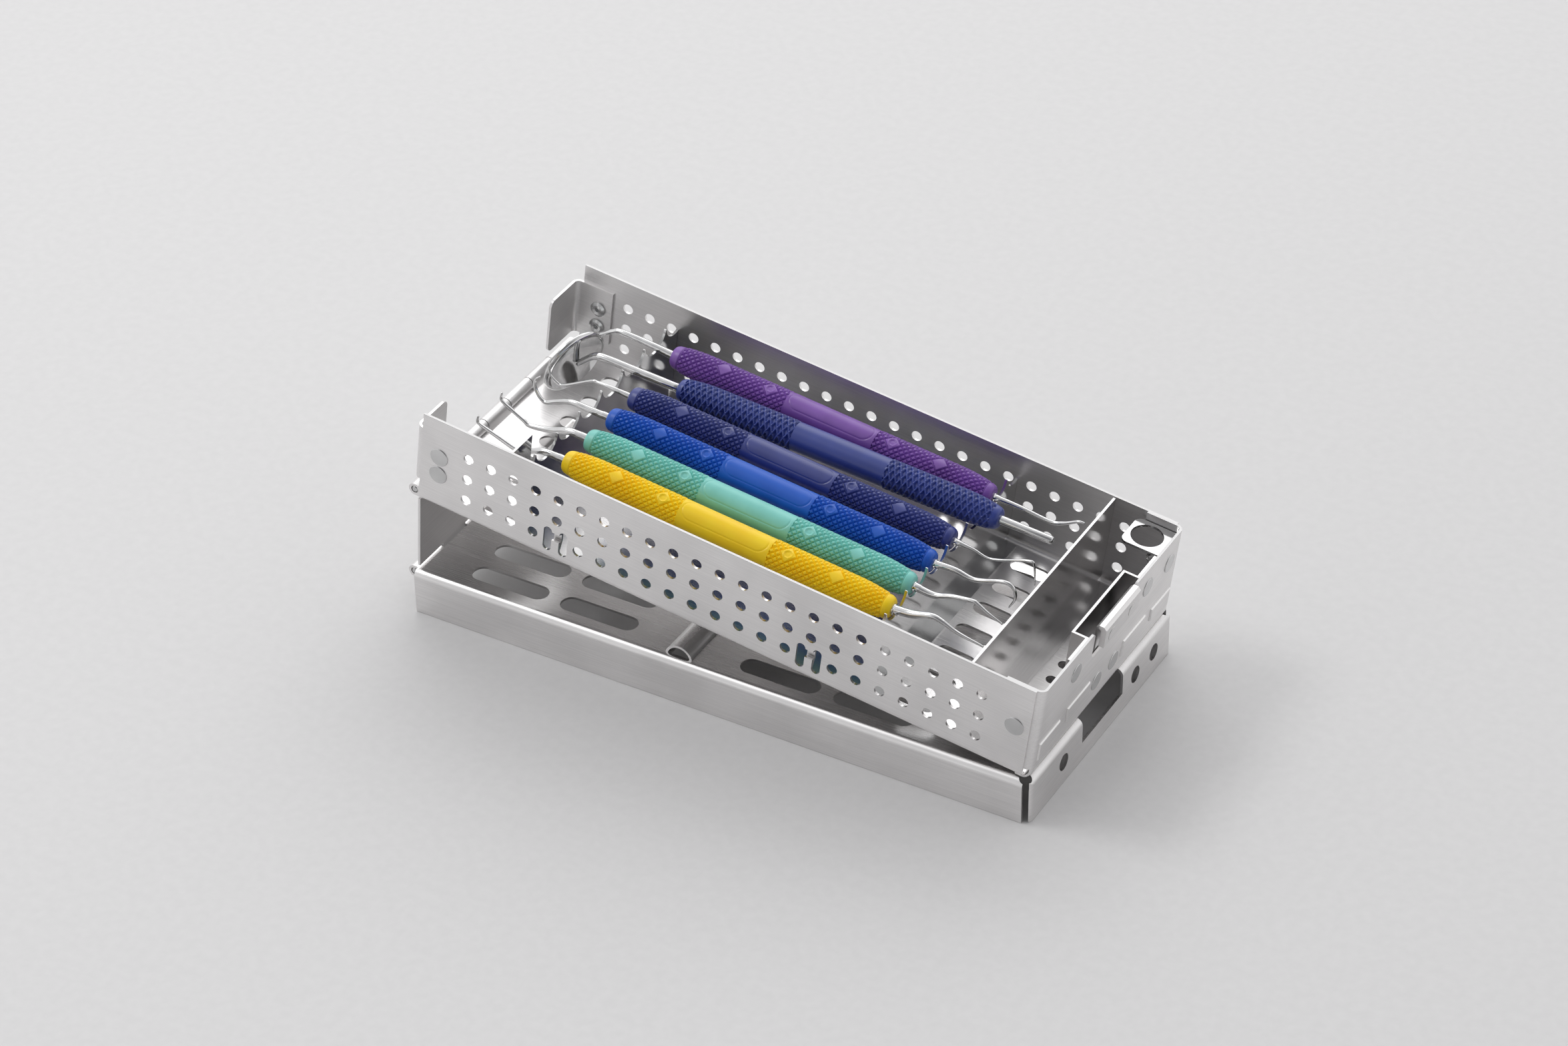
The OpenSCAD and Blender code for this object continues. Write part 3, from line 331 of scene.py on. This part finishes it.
def island_relief(relief, x, turn, length):
    """A diamond as big as nine pyramids, with the grooves themselves as its edge."""
    arc = 2 * math.pi * GRIP_RADIUS
    for side in (0.0, 0.5):
        away = (turn - side + 0.5) % 1.0 - 0.5
        for place, dimpled in ISLANDS:
            for middle in (place, length - place):
                shift = (side * STARTS) % 1.0
                centre = round(middle / PITCH - shift) + shift
                along = x / PITCH - centre
                reach = np.maximum(np.abs(along + away * STARTS), np.abs(along - away * STARTS))
                slope = np.clip(2 * (ISLAND_REACH - reach) / FLAT, 0, 1)
                top = -ISLAND_DROP - GROOVE * (1 - slope)
                relief = np.where(reach < ISLAND_REACH, top, relief)
                if dimpled:
                    reach = np.hypot(along * PITCH, away * arc)
                    bowl = smooth_step(DIMPLE_RADIUS - reach, 0.0, DIMPLE_SOFT)
                    ring = -ISLAND_DROP - DIMPLE_DEPTH * bowl
                    ring = ring + LIP_HEIGHT * np.exp(-((reach - LIP_RADIUS) / LIP_WIDTH) ** 2)
                    relief = np.where(reach < DIMPLE_EDGE, ring, relief)
    return relief


def outline_relief(relief, x, turn, length, panel):
    """A shallow channel in the shape of a stadium frames the bare middle."""
    arc = 2 * math.pi * GRIP_RADIUS
    away = (turn + 0.5) % 1.0 - 0.5
    away = away * arc
    straight = panel - FRAME_INSET
    along = np.maximum(np.abs(x - length / 2) - straight, 0)
    reach = np.hypot(along, away)
    line = np.exp(-((reach - FRAME_RADIUS) / FRAME_WIDTH) ** 2)
    return relief - FRAME_DEPTH * line


print("grooves repeat every", PITCH, "mm along and", STARTS, "times around")

# %% [markdown]
# ## Moulded handles: the mesh
# The grid has ten steps to each pyramid both ways, and each square is split along the
# diagonal that a groove follows, so grooves stay sharp with few faces. The ends round over
# into a small flat face with a hole for the shank.

# %% Handle mesh
STEPS = 10
NARROW, NARROW_OVER = 1.3, 13.0
ROUNDING, ROUND_OVER = 0.9, 1.6


def end_round(x, length, radius):
    """Radius of the smooth body: it narrows towards both ends, which are rounded."""
    edge = np.minimum(x, length - x)
    narrow = NARROW * np.clip(1 - edge / NARROW_OVER, 0, 1) ** 2
    fall = np.clip(1 - edge / ROUND_OVER, 0, 1)
    return radius - narrow - ROUNDING * (1 - np.sqrt(np.clip(1 - fall**2, 0, 1)))


def handle_mesh(name, length, relief_of, bore, roll, pitch=PITCH, starts=STARTS, fine=1):
    near = np.array([0.0, 0.12, 0.3, 0.55, 0.85, 1.2, 1.6])
    step = pitch / STEPS
    middle = np.arange(2.0, length - 2.0 + step / 2, step)
    xs = np.concatenate([near, middle, length - near[::-1]])
    around = starts * STEPS * fine
    turns = np.arange(around) / around
    grid_x, grid_t = np.meshgrid(xs, turns, indexing="ij")
    relief = relief_of(grid_x, grid_t, length)
    radius = end_round(grid_x, length, GRIP_RADIUS) + relief
    angle = 2 * math.pi * grid_t + roll
    points = np.stack([grid_x, -radius * np.sin(angle), radius * np.cos(angle)], axis=-1)
    rings = [points.reshape(-1, 3)]
    left, right = bore
    for x, r in ((0.0, left), (ROUND_OVER, left), (length, right), (length - ROUND_OVER, right)):
        ring = [(x, -r * math.sin(2 * math.pi * t + roll), r * math.cos(2 * math.pi * t + roll))
                for t in turns]
        rings.append(np.array(ring))
    verts = np.concatenate(rings)
    faces = []
    rows = len(xs)
    for i in range(rows - 1):
        for k in range(around):
            j = (k + 1) % around
            a, b, c, d = i * around + k, i * around + j, (i + 1) * around + j, (i + 1) * around + k
            cell_x = int(round(xs[i] / step)) % STEPS < STEPS // 2
            cell_t = k // fine % STEPS < STEPS // 2
            if cell_x == cell_t:
                faces += [(a, b, d), (b, c, d)]
            else:
                faces += [(a, b, c), (a, c, d)]
    body = rows * around
    for outer, first in ((0, body), ((rows - 1) * around, body + 2 * around)):
        for k in range(around):
            j = (k + 1) % around
            a, b = outer + k, outer + j
            c, d = first + k, first + j
            e, f = first + around + k, first + around + j
            if outer == 0:
                faces += [(b, a, c, d), (d, c, e, f)]
            else:
                faces += [(a, b, d, c), (c, d, f, e)]
    mesh = bpy.data.meshes.new(name)
    mesh.from_pydata(verts.tolist(), [], faces)
    mesh.update()
    return mesh


def add_piece(name, mesh, matrix, body, finish, node=None, crease=None):
    piece = bpy.data.objects.new(name, mesh)
    bpy.context.scene.collection.objects.link(piece)
    mesh.transform(matrix)
    mesh.shade_smooth()
    if crease is not None:
        mesh.set_sharp_from_angle(angle=math.radians(crease))
    put_on(piece, finish)
    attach(piece, body)
    if node:
        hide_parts(node)
    return piece


print("mesh helpers ready")

# %% [markdown]
# ## Resin
# Cast resin is a satin plastic: a fairly broad highlight and a little light inside the colour.
# A coarse noise makes the tint paler or deeper at random over the surface, and a finer one
# breaks the highlight.

# %% Resin finish


def resin(name, colour, deep, coat):
    finish, tree, shader = new_finish(name)
    place = tree.nodes.new("ShaderNodeTexCoord")
    patch = add_node(tree, "ShaderNodeTexNoise", Scale=90.0, Detail=3.0)
    wire(tree, place, "Object", patch, "Vector")
    tint = ramp(tree, (*deep, 1), (*colour, 1), 0.25, 0.6)
    wire(tree, patch, "Fac", tint, "Fac")
    wire(tree, tint, "Color", shader, "Base Color")
    grain = add_node(tree, "ShaderNodeTexNoise", Scale=2600.0, Detail=3.0)
    wire(tree, place, "Object", grain, "Vector")
    rough = map_range(tree, 0.30, 0.46)
    wire(tree, patch, "Fac", rough, "Value")
    wire(tree, rough, "Result", shader, "Roughness")
    bump = add_node(tree, "ShaderNodeBump", Strength=0.15, Distance=0.00004)
    wire(tree, grain, "Fac", bump, "Height")
    wire(tree, bump, "Normal", shader, "Normal")
    shader.inputs["IOR"].default_value = 1.42
    shader.inputs["Coat Weight"].default_value = coat
    shader.inputs["Coat Roughness"].default_value = 0.32
    return finish


RESINS = {
    "yellow": resin("yellow_resin", (1.0, 0.71, 0.012), (0.98, 0.62, 0.008), 0.06),
    "teal": resin("teal_resin", (0.23, 0.65, 0.58), (0.17, 0.55, 0.48), 0.3),
    "blue": resin("blue_resin", (0.012, 0.110, 0.56), (0.009, 0.082, 0.46), 0.12),
    "navy": resin("navy_resin", (0.032, 0.048, 0.24), (0.023, 0.035, 0.18), 0.6),
    "purple": resin("purple_resin", (0.22, 0.090, 0.42), (0.165, 0.065, 0.32), 0.4),
    "mirror": resin("mirror_navy_resin", (0.030, 0.055, 0.29), (0.022, 0.041, 0.22), 0.6),
}
print("resins:", sorted(RESINS))

# %% [markdown]
# ## Five pyramid handles
# The five share one shape, so one recipe makes them all, and each is turned a little about
# its own axis, the way loose tools settle. The bare middle is framed by a shallow channel.
# The shanks' thicknesses, in millimetres at even steps from the handle to the tip, are set
# here too, because each hole in a handle has to fit its shank.

# %% Pyramid handles
GRIP_START, GRIP_END, GRIP_Z = 44.2, 157.1, 26.85
COMB_PITCH, COMB_SHIFT = 12.6387, -0.5
PANEL = 15.7
LANE_MIDDLE = 2.5
LEFT_COLLAR, RIGHT_COLLAR = 3.2, 2.5


def lane(i):
    return (i - LANE_MIDDLE) * COMB_PITCH + COMB_SHIFT


def pyramid_handle(x, turn, length):
    knurl = pyramid_relief(x, turn)
    knurl = island_relief(knurl, x, turn, length)
    edge = np.minimum(x, length - x)
    from_middle = np.abs(x - length / 2)
    plain = np.full_like(x, -0.12)
    plain = outline_relief(plain, x, turn, length, PANEL)
    relief = np.where(from_middle < PANEL, plain, knurl)
    collar = np.where(x < length / 2, LEFT_COLLAR, RIGHT_COLLAR)
    seam = -0.1 - 0.3 * np.exp(-(((edge - collar) / 0.2) ** 2))
    return np.where(edge < collar + 0.2, seam, relief)


LEFT_WIDTHS = {
    "yellow": (2.5, 2.0, 1.7, 1.4, 1.1, 0.6),
    "teal": (2.7, 2.2, 1.7, 1.3, 1.1, 0.6),
    "blue": (2.4, 2.0, 1.6, 1.3, 1.0, 0.5),
    "navy": (1.9, 1.2, 1.0, 0.95, 0.8, 0.35),
    "purple": (2.7, 2.2, 1.8, 1.5, 1.1, 0.7),
}
RIGHT_WIDTHS = {
    "yellow": (2.9, 2.5, 2.1, 1.6, 1.2, 0.7),
    "teal": (2.6, 2.0, 1.4, 1.3, 1.1, 0.6),
    "blue": (2.3, 1.8, 1.4, 1.15, 1.0, 0.5),
    "navy": (1.8, 1.0, 0.85, 0.85, 0.75, 0.35),
    "purple": (2.2, 1.6, 1.4, 1.2, 1.0, 0.6),
}
LANES = {"yellow": 0, "teal": 1, "blue": 2, "navy": 3, "purple": 5}
ROLLS = {"yellow": 22, "teal": 22, "blue": 21, "navy": 17, "purple": 12}
for colour, lane_number in LANES.items():
    length = GRIP_END - GRIP_START
    bores = (LEFT_WIDTHS[colour][0] / 2, RIGHT_WIDTHS[colour][0] / 2)
    roll = math.radians(ROLLS[colour])
    mesh = handle_mesh(f"{colour}_grip", length, pyramid_handle, bores, roll)
    seat = TRAY @ Matrix.Translation((GRIP_START, lane(lane_number), GRIP_Z))
    add_piece(f"{colour}_grip", mesh, seat, f"{colour}_tool", RESINS[colour],
              f"{colour}_handle", crease=32)
print("five handles of", round(length, 1), "mm")

# %% [markdown]
# ## The mirror's handle
# The mouth mirror has an older pattern: two families of thin raised threads cross each other
# steeply round the handle and leave deep diamond pockets. The same mesh recipe takes another
# relief function. A short plain stub of steel is added at its right end further down.

# %% Mirror handle
MIRROR_START, MIRROR_LENGTH = 54.0, 111.3
VALLEY_Z, VALLEY_R = 24.4, 6.259
STEM_RADIUS, SEAT_GAP = 1.3, 0.3
LEFT_COMB_X, COMB_SPAN = 36.6, 120.8
THREAD_PITCH, THREAD_STARTS, THREAD_DEPTH = 2.05, 7, 0.7
THREAD_BORE, THREAD_ROLL, THREAD_FINE = 1.42, 0.4, 2


def mirror_frame():
    off = (VALLEY_R - GRIP_RADIUS - SEAT_GAP) / math.sqrt(2)
    low = VALLEY_Z + SEAT_GAP + STEM_RADIUS
    high = VALLEY_Z + VALLEY_R - off
    rise = math.atan((high - low) / COMB_SPAN)
    yaw = math.atan(off / COMB_SPAN)
    seat = Matrix.Translation((LEFT_COMB_X, lane(4), low))
    return TRAY @ seat @ Matrix.Rotation(yaw, 4, "Z") @ Matrix.Rotation(-rise, 4, "Y")


def threaded_handle(x, turn, length):
    a = x / THREAD_PITCH + turn * THREAD_STARTS
    b = x / THREAD_PITCH - turn * THREAD_STARTS
    crest = np.maximum(saw(a), saw(b))
    threads = -THREAD_DEPTH * (1 - smooth_step(crest, 0.4, 0.92))
    edge = np.minimum(x, length - x)
    from_middle = np.abs(x - length / 2 - 1.5)
    relief = np.where(from_middle < 16.0, -0.15, threads)
    return np.where(edge < 2.2, -0.1, relief)


MIRROR = mirror_frame()
seat = MIRROR @ Matrix.Translation((MIRROR_START - LEFT_COMB_X, 0, 0))
mesh = handle_mesh("mirror_grip", MIRROR_LENGTH, threaded_handle, (THREAD_BORE, THREAD_BORE),
                   THREAD_ROLL, THREAD_PITCH, THREAD_STARTS, THREAD_FINE)
add_piece("mirror_grip", mesh, seat, "mirror_tool", RESINS["mirror"],
          "mirror_handle", crease=40)
print("mirror handle stands at", [round(v, 4) for v in seat.translation])

# %% [markdown]
# ## Bent shanks
# A working end starts as a straight rod, is bent in two or three places, and is ground down
# to a fine blade or point. A tube swept along a smooth curve shows that best. The curve goes
# through a few points read off the photograph, and the radius falls from neck to tip.

# %% Sweep a tube


def smooth_path(points, parts=8):
    pts = [Vector(p) for p in points]
    pts = [pts[0] * 2 - pts[1]] + pts + [pts[-1] * 2 - pts[-2]]
    out = []
    for i in range(1, len(pts) - 2):
        p0, p1, p2, p3 = pts[i - 1 : i + 3]
        for k in range(parts):
            t = k / parts
            out.append(0.5 * ((2 * p1) + (p2 - p0) * t + (2 * p0 - 5 * p1 + 4 * p2 - p3) * t**2
                              + (3 * p1 - p0 - 3 * p2 + p3) * t**3))
    out.append(pts[-2])
    return out


def band_faces(rings, sides):
    """Four-sided faces between each ring of points and the next."""
    faces = []
    for i in range(rings - 1):
        for k in range(sides):
            j = (k + 1) % sides
            faces.append((i * sides + k, i * sides + j, (i + 1) * sides + j, (i + 1) * sides + k))
    return faces


def outward_mesh(name, verts, faces, weld=False):
    """Mesh with its normals pointing out, and with doubled points joined if asked."""
    mesh = bpy.data.meshes.new(name)
    mesh.from_pydata(verts, [], faces)
    bm = bmesh.new()
    bm.from_mesh(mesh)
    if weld:
        bmesh.ops.remove_doubles(bm, verts=bm.verts, dist=1e-6)
    bmesh.ops.recalc_face_normals(bm, faces=bm.faces)
    bm.to_mesh(mesh)
    bm.free()
    return mesh


def swept_tube(name, path, radii, sides=20):
    """Tube along a path, with one radius for each of its points."""
    rings = len(path)
    up = Vector((0, 1, 0))
    verts = []
    for i, point in enumerate(path):
        ahead = (path[min(i + 1, rings - 1)] - path[max(i - 1, 0)]).normalized()
        side = (up - ahead * up.dot(ahead)).normalized()
        lift = ahead.cross(side)
        for k in range(sides):
            angle = 2 * math.pi * k / sides
            verts.append(point + side * (radii[i] * math.cos(angle))
                         + lift * (radii[i] * math.sin(angle)))
    faces = band_faces(rings, sides)
    faces.append(tuple(reversed(range(sides))))
    faces.append(tuple(range((rings - 1) * sides, rings * sides)))
    return outward_mesh(name, [tuple(v) for v in verts], faces)


print("a straight test path has", len(smooth_path([(0, 0, 0), (1, 0, 0), (2, 0, 0)])), "points")

# %% [markdown]
# ## Ten working ends
# Each path is given as a share of the end's reach, along the handle's axis and above it. The
# explorers end in a fine hook, and the scalers and curettes in a short curved blade. A plug
# of steel fills the hole in the handle, and at the right end it shows as a low collar.

# %% Working ends
REACH = 32.0
LEFT_PATHS = {
    "yellow": [(0, 0), (0.22, -0.01), (0.35, -0.06), (0.47, -0.13), (0.56, -0.135),
               (0.74, -0.09), (0.9, -0.05), (0.98, -0.02), (0.98, 0.06)],
    "teal": [(0, 0), (0.21, -0.01), (0.4, -0.09), (0.63, -0.15), (0.72, -0.12),
             (0.86, -0.06), (0.97, 0), (0.97, 0.09)],
    "blue": [(0, 0), (0.24, -0.01), (0.43, -0.02), (0.6, -0.1), (0.73, -0.16),
             (0.83, -0.05), (0.84, 0.05), (0.79, 0.12)],
    "navy": [(0, 0), (0.22, 0), (0.38, -0.01), (0.46, -0.03), (0.73, -0.21),
             (0.82, -0.225), (0.91, -0.15), (0.92, -0.02), (0.84, 0.14)],
    "purple": [(0, 0), (0.3, 0.01), (0.6, 0.005), (0.69, -0.03), (0.8, -0.11),
               (0.9, -0.17), (0.97, -0.17)],
}
RIGHT_PATHS = {
    "yellow": [(0, 0), (0.2, 0.04), (0.39, 0.115), (0.5, 0.11), (0.67, 0.06), (0.94, 0.035)],
    "teal": [(0, 0), (0.22, 0), (0.41, 0.08), (0.6, 0.13), (0.66, 0.12), (0.77, 0.07),
             (0.93, 0.02)],
    "blue": [(0, 0), (0.22, 0.03), (0.43, 0.02), (0.71, 0.14), (0.82, 0.12), (0.855, 0.01),
             (0.81, -0.12)],
    "navy": [(0, 0), (0.2, 0), (0.4, -0.02), (0.76, 0.145), (0.83, 0.12), (0.87, -0.1)],
    "purple": [(0, 0), (0.28, 0.01), (0.6, 0), (0.74, 0.05), (0.88, 0.14), (0.95, 0.155)],
}


def neck_ring(side, shank):
    """Points along the axis and radii: a plain plug on the left, a low collar on the right."""
    xs = [-1.4, 0.02, 0.55, 0.8, 2.4]
    rs = [shank, shank, shank, shank, shank * 0.98]
    if side > 0:
        rs = [shank + 0.25, shank + 0.3, shank + 0.3, shank + 0.05, shank]
    return [Vector((side * x, 0, 0)) for x in xs], rs


def working_end(colour, shares, widths, side, seat):
    points = [(side * a * REACH, 0.0, b * REACH) for a, b in shares]
    path = smooth_path(points)
    count = len(path) - 1
    at = np.linspace(0, 1, len(widths))
    radii = [float(np.interp(i / count, at, widths)) / 2 for i in range(count + 1)]
    word = "left" if side < 0 else "right"
    shank = swept_tube(f"{colour}_{word}_shank", path, radii)
    add_piece(f"{colour}_{word}_shank", shank, seat, f"{colour}_tool", shank_steel,
              f"{colour}_{word}_end")
    neck_path, neck_radii = neck_ring(side, radii[0])
    neck = swept_tube(f"{colour}_{word}_neck", neck_path, neck_radii, sides=32)
    add_piece(f"{colour}_{word}_neck", neck, seat, f"{colour}_tool", shank_steel,
              crease=40)


for colour, lane_number in LANES.items():
    left = TRAY @ Matrix.Translation((GRIP_START, lane(lane_number), GRIP_Z))
    right = TRAY @ Matrix.Translation((GRIP_END, lane(lane_number), GRIP_Z))
    working_end(colour, LEFT_PATHS[colour], LEFT_WIDTHS[colour], -1, left)
    working_end(colour, RIGHT_PATHS[colour], RIGHT_WIDTHS[colour], 1, right)
print("ten working ends, each with a neck")

# %% [markdown]
# ## The mouth mirror
# The head is a shallow polished cup with a rolled rim, and a disc of mirror glass is pressed
# into it. The stem is soldered to the middle of the back. A lathe profile is the natural way
# to make the cup: the section is drawn once and spun about the axis.

# %% Mirror head
MIRROR_REACH, MIRROR_DROP, MIRROR_BEND = 37.0, 6.4, 30.0
MIRROR_RADIUS = 11.7
MIRROR_PAN, MIRROR_NOD = 162, 78


def spin(name, profile, sides=96):
    """Spin points of (radius, height) about Z."""
    verts = []
    for r, z in profile:
        for k in range(sides):
            angle = 2 * math.pi * k / sides
            verts.append((r * math.cos(angle), r * math.sin(angle), z))
    return outward_mesh(name, verts, band_faces(len(profile), sides), weld=True)


R = MIRROR_RADIUS
cup_profile = [(0.0, 0.0), (6.0, 0.02), (R - 1.5, 0.05), (R - 0.8, 0.18), (R - 0.25, 0.55),
               (R, 1.0), (R, 1.5), (R - 0.2, 1.75), (R - 0.5, 1.8), (R - 0.75, 1.6),
               (R - 0.8, 1.3), (R - 0.8, 0.6), (0.0, 0.6)]
head = (MIRROR @ Matrix.Translation((MIRROR_START - LEFT_COMB_X - MIRROR_REACH, 0, -MIRROR_DROP))
        @ Matrix.Rotation(math.radians(MIRROR_PAN), 4, "Z")
        @ Matrix.Rotation(math.radians(MIRROR_NOD), 4, "Y"))
mirror_steel = bright_steel("mirror_cup_steel", 0.66, 0.09, 3000.0)
add_piece("mirror_cup", spin("mirror_cup", cup_profile), head, "mirror_tool",
          mirror_steel, "mirror_head", crease=40)

glass, tree, shader = new_finish("mirror_glass_silvered")
place = tree.nodes.new("ShaderNodeTexCoord")
smear = add_node(tree, "ShaderNodeTexNoise", Scale=160.0, Detail=3.0)
wire(tree, place, "Object", smear, "Vector")
silver = ramp(tree, (0.84, 0.87, 0.88, 1), (0.93, 0.95, 0.95, 1))
wire(tree, smear, "Fac", silver, "Fac")
wire(tree, silver, "Color", shader, "Base Color")
shine = map_range(tree, 0.015, 0.05)
wire(tree, smear, "Fac", shine, "Value")
wire(tree, shine, "Result", shader, "Roughness")
shader.inputs["Metallic"].default_value = 1.0
put_on(steel_nodes["mirror_glass"], glass)

stem_seat = MIRROR @ Matrix.Translation((MIRROR_START - LEFT_COMB_X, 0, 0))
stem_points = [(0, 0, 0), (-15, 0, 0), (-MIRROR_BEND + 3, 0, 0), (-MIRROR_BEND, 0, -0.6),
               (-MIRROR_BEND - 2, 0, -1.9), (-MIRROR_REACH + 0.6, 0, -MIRROR_DROP + 0.2)]
stem_path = smooth_path(stem_points)
stem_radii = [THREAD_BORE - 0.42 * (i / len(stem_path)) for i in range(len(stem_path))]
stem = swept_tube("mirror_stem", stem_path, stem_radii)
add_piece("mirror_stem", stem, stem_seat, "mirror_tool", shank_steel)
stub_path = [Vector((MIRROR_LENGTH - 2 + x, 0, 0)) for x in (0, 2, 10, 19, 19.5, 19.75)]
stub = swept_tube("mirror_stub", stub_path, [1.4, 1.4, 1.35, 1.3, 1.15, 0.8])
add_piece("mirror_stub", stub, stem_seat, "mirror_tool", shank_steel, crease=50)
print("mirror cup is", 2 * MIRROR_RADIUS, "mm across")

# %% [markdown]
# ## Pressed strips
# The end wall has four low pressed strips below the latch, two on each side of it. They stand
# half a millimetre proud, so they belong to the looks. Each is a four-sided outline across
# the wall, raised and given a narrow slope all round.

# %% Pressed strips in the end wall
STRIPS = [[(-42.8, 5.4), (-29.9, 7.4), (-29.9, 12.1), (-42.8, 12.0)],
          [(-25.0, 7.2), (-10.5, 7.2), (-10.9, 13.2), (-25.6, 13.2)]]


def pressed_strip(name, outline, proud=0.5, slope=0.35):
    middle = Vector((sum(p[0] for p in outline) / 4, sum(p[1] for p in outline) / 4))
    verts = []
    for x, inset in ((-0.05, 0.0), (0.12, 0.0), (proud, slope)):
        for y, z in outline:
            pull = Vector((middle.x - y, middle.y - z))
            y += math.copysign(inset, pull.x)
            z += math.copysign(inset, pull.y)
            verts.append((TRAY_LENGTH + x, y, z))
    faces = [(0, 1, 2, 3), (8, 11, 10, 9)]
    for low in (0, 4):
        for k in range(4):
            j = (k + 1) % 4
            faces.append((low + k, low + j, low + 4 + j, low + 4 + k))
    add_piece(name, outward_mesh(name, verts, faces), TRAY, "tray", tray_steel,
              crease=20)


for i, outline in enumerate(STRIPS):
    pressed_strip(f"near_strip_{i + 1}", outline)
    mirrored = [(-y, z) for y, z in outline]
    pressed_strip(f"far_strip_{i + 1}", mirrored)
print("pressed strips:", 2 * len(STRIPS))

# %% [markdown]
# ## Floor, light and camera
# The part stands on a plain pale floor. Metal shows what is round it, so the room matters as
# much as the lamps: a bright floor, a pale world that darkens towards one side, a large soft
# lamp at the back that draws long highlights along the folds, and a smaller key lamp.

# %% Floor
floor_mesh = bpy.data.meshes.new("floor")
floor_half = 3.0
floor_mesh.from_pydata([(-floor_half, -floor_half, 0), (floor_half, -floor_half, 0),
                        (floor_half, floor_half, 0), (-floor_half, floor_half, 0)], [],
                       [(0, 1, 2, 3)])
floor = bpy.data.objects.new("floor", floor_mesh)
bpy.context.scene.collection.objects.link(floor)
floor.location.z = -0.0001
floor_finish, tree, shader = new_finish("floor_paper")
place = tree.nodes.new("ShaderNodeTexCoord")
fibre = add_node(tree, "ShaderNodeTexNoise", Scale=300.0, Detail=2.0)
wire(tree, place, "Object", fibre, "Vector")
paper = ramp(tree, grey(0.715), grey(0.74))
wire(tree, fibre, "Fac", paper, "Fac")
wire(tree, paper, "Color", shader, "Base Color")
shader.inputs["Roughness"].default_value = 0.7
floor_mesh.materials.append(floor_finish)
print("floor is", 2 * floor_half, "m square")

# %% Light
WORLD_STRENGTH = 1.12
DARK_SIDE = (0.41, -0.69, 0.60)
AIM = (0, 0, 0.03)

world = bpy.data.worlds.new("studio")
world.use_nodes = True
tree = world.node_tree
tree.nodes.clear()
place = tree.nodes.new("ShaderNodeTexCoord")
split = tree.nodes.new("ShaderNodeSeparateXYZ")
wire(tree, place, "Generated", split, "Vector")
sky = ramp(tree, (0.95, 0.95, 0.95, 1), (0.70, 0.70, 0.71, 1), 0.0, 1.0)
wire(tree, split, "Z", sky, "Fac")
towards = add_node(tree, "ShaderNodeVectorMath", {"operation": "DOT_PRODUCT"})
wire(tree, place, "Generated", towards, "Vector")
towards.inputs[1].default_value = DARK_SIDE
card = ramp(tree, (1, 1, 1, 1), (0.25, 0.25, 0.26, 1), 0.55, 0.9)
wire(tree, towards, "Value", card, "Fac")
shade = multiply_colours(tree, sky.outputs["Color"], card.outputs["Color"])
back = tree.nodes.new("ShaderNodeBackground")
back.inputs["Strength"].default_value = WORLD_STRENGTH
tree.links.new(shade.outputs[MIX_RESULT], back.inputs["Color"])
end = tree.nodes.new("ShaderNodeOutputWorld")
wire(tree, back, "Background", end, "Surface")
bpy.context.scene.world = world


def soft_lamp(name, place, aim, size, power):
    data = bpy.data.lights.new(name, "AREA")
    data.shape = "RECTANGLE"
    data.size, data.size_y = size
    data.energy = power
    lamp = bpy.data.objects.new(name, data)
    bpy.context.scene.collection.objects.link(lamp)
    lamp.location = place
    lamp.rotation_euler = (Vector(aim) - Vector(place)).to_track_quat("-Z", "Y").to_euler()


soft_lamp("back", (-0.34, 0.88, 0.90), AIM, (1.4, 0.8), 3.9)
soft_lamp("key", (-0.75, -0.25, 1.05), AIM, (0.45, 0.35), 3.0)

# %% Camera
camera_data = bpy.data.cameras.new("camera")
camera_data.sensor_width = 36.0
camera_data.lens = 106.147
camera_data.clip_start = 0.05
camera = bpy.data.objects.new("camera", camera_data)
right = Vector((0.8677026, 0.49687608, -0.01436506))
down = Vector((0.28588355, -0.52246712, -0.80330486))
forward = Vector((-0.40664825, 0.69292298, -0.59539478))
axes = Matrix((right, -down, -forward)).transposed().to_4x4()
camera.matrix_world = Matrix.Translation((0.566849, -0.971281, 0.874730)) @ axes
bpy.context.scene.collection.objects.link(camera)
bpy.context.scene.camera = camera
bpy.context.scene.view_settings.view_transform = "Standard"
print("camera stands", round(camera.matrix_world.translation.length, 3), "m away")
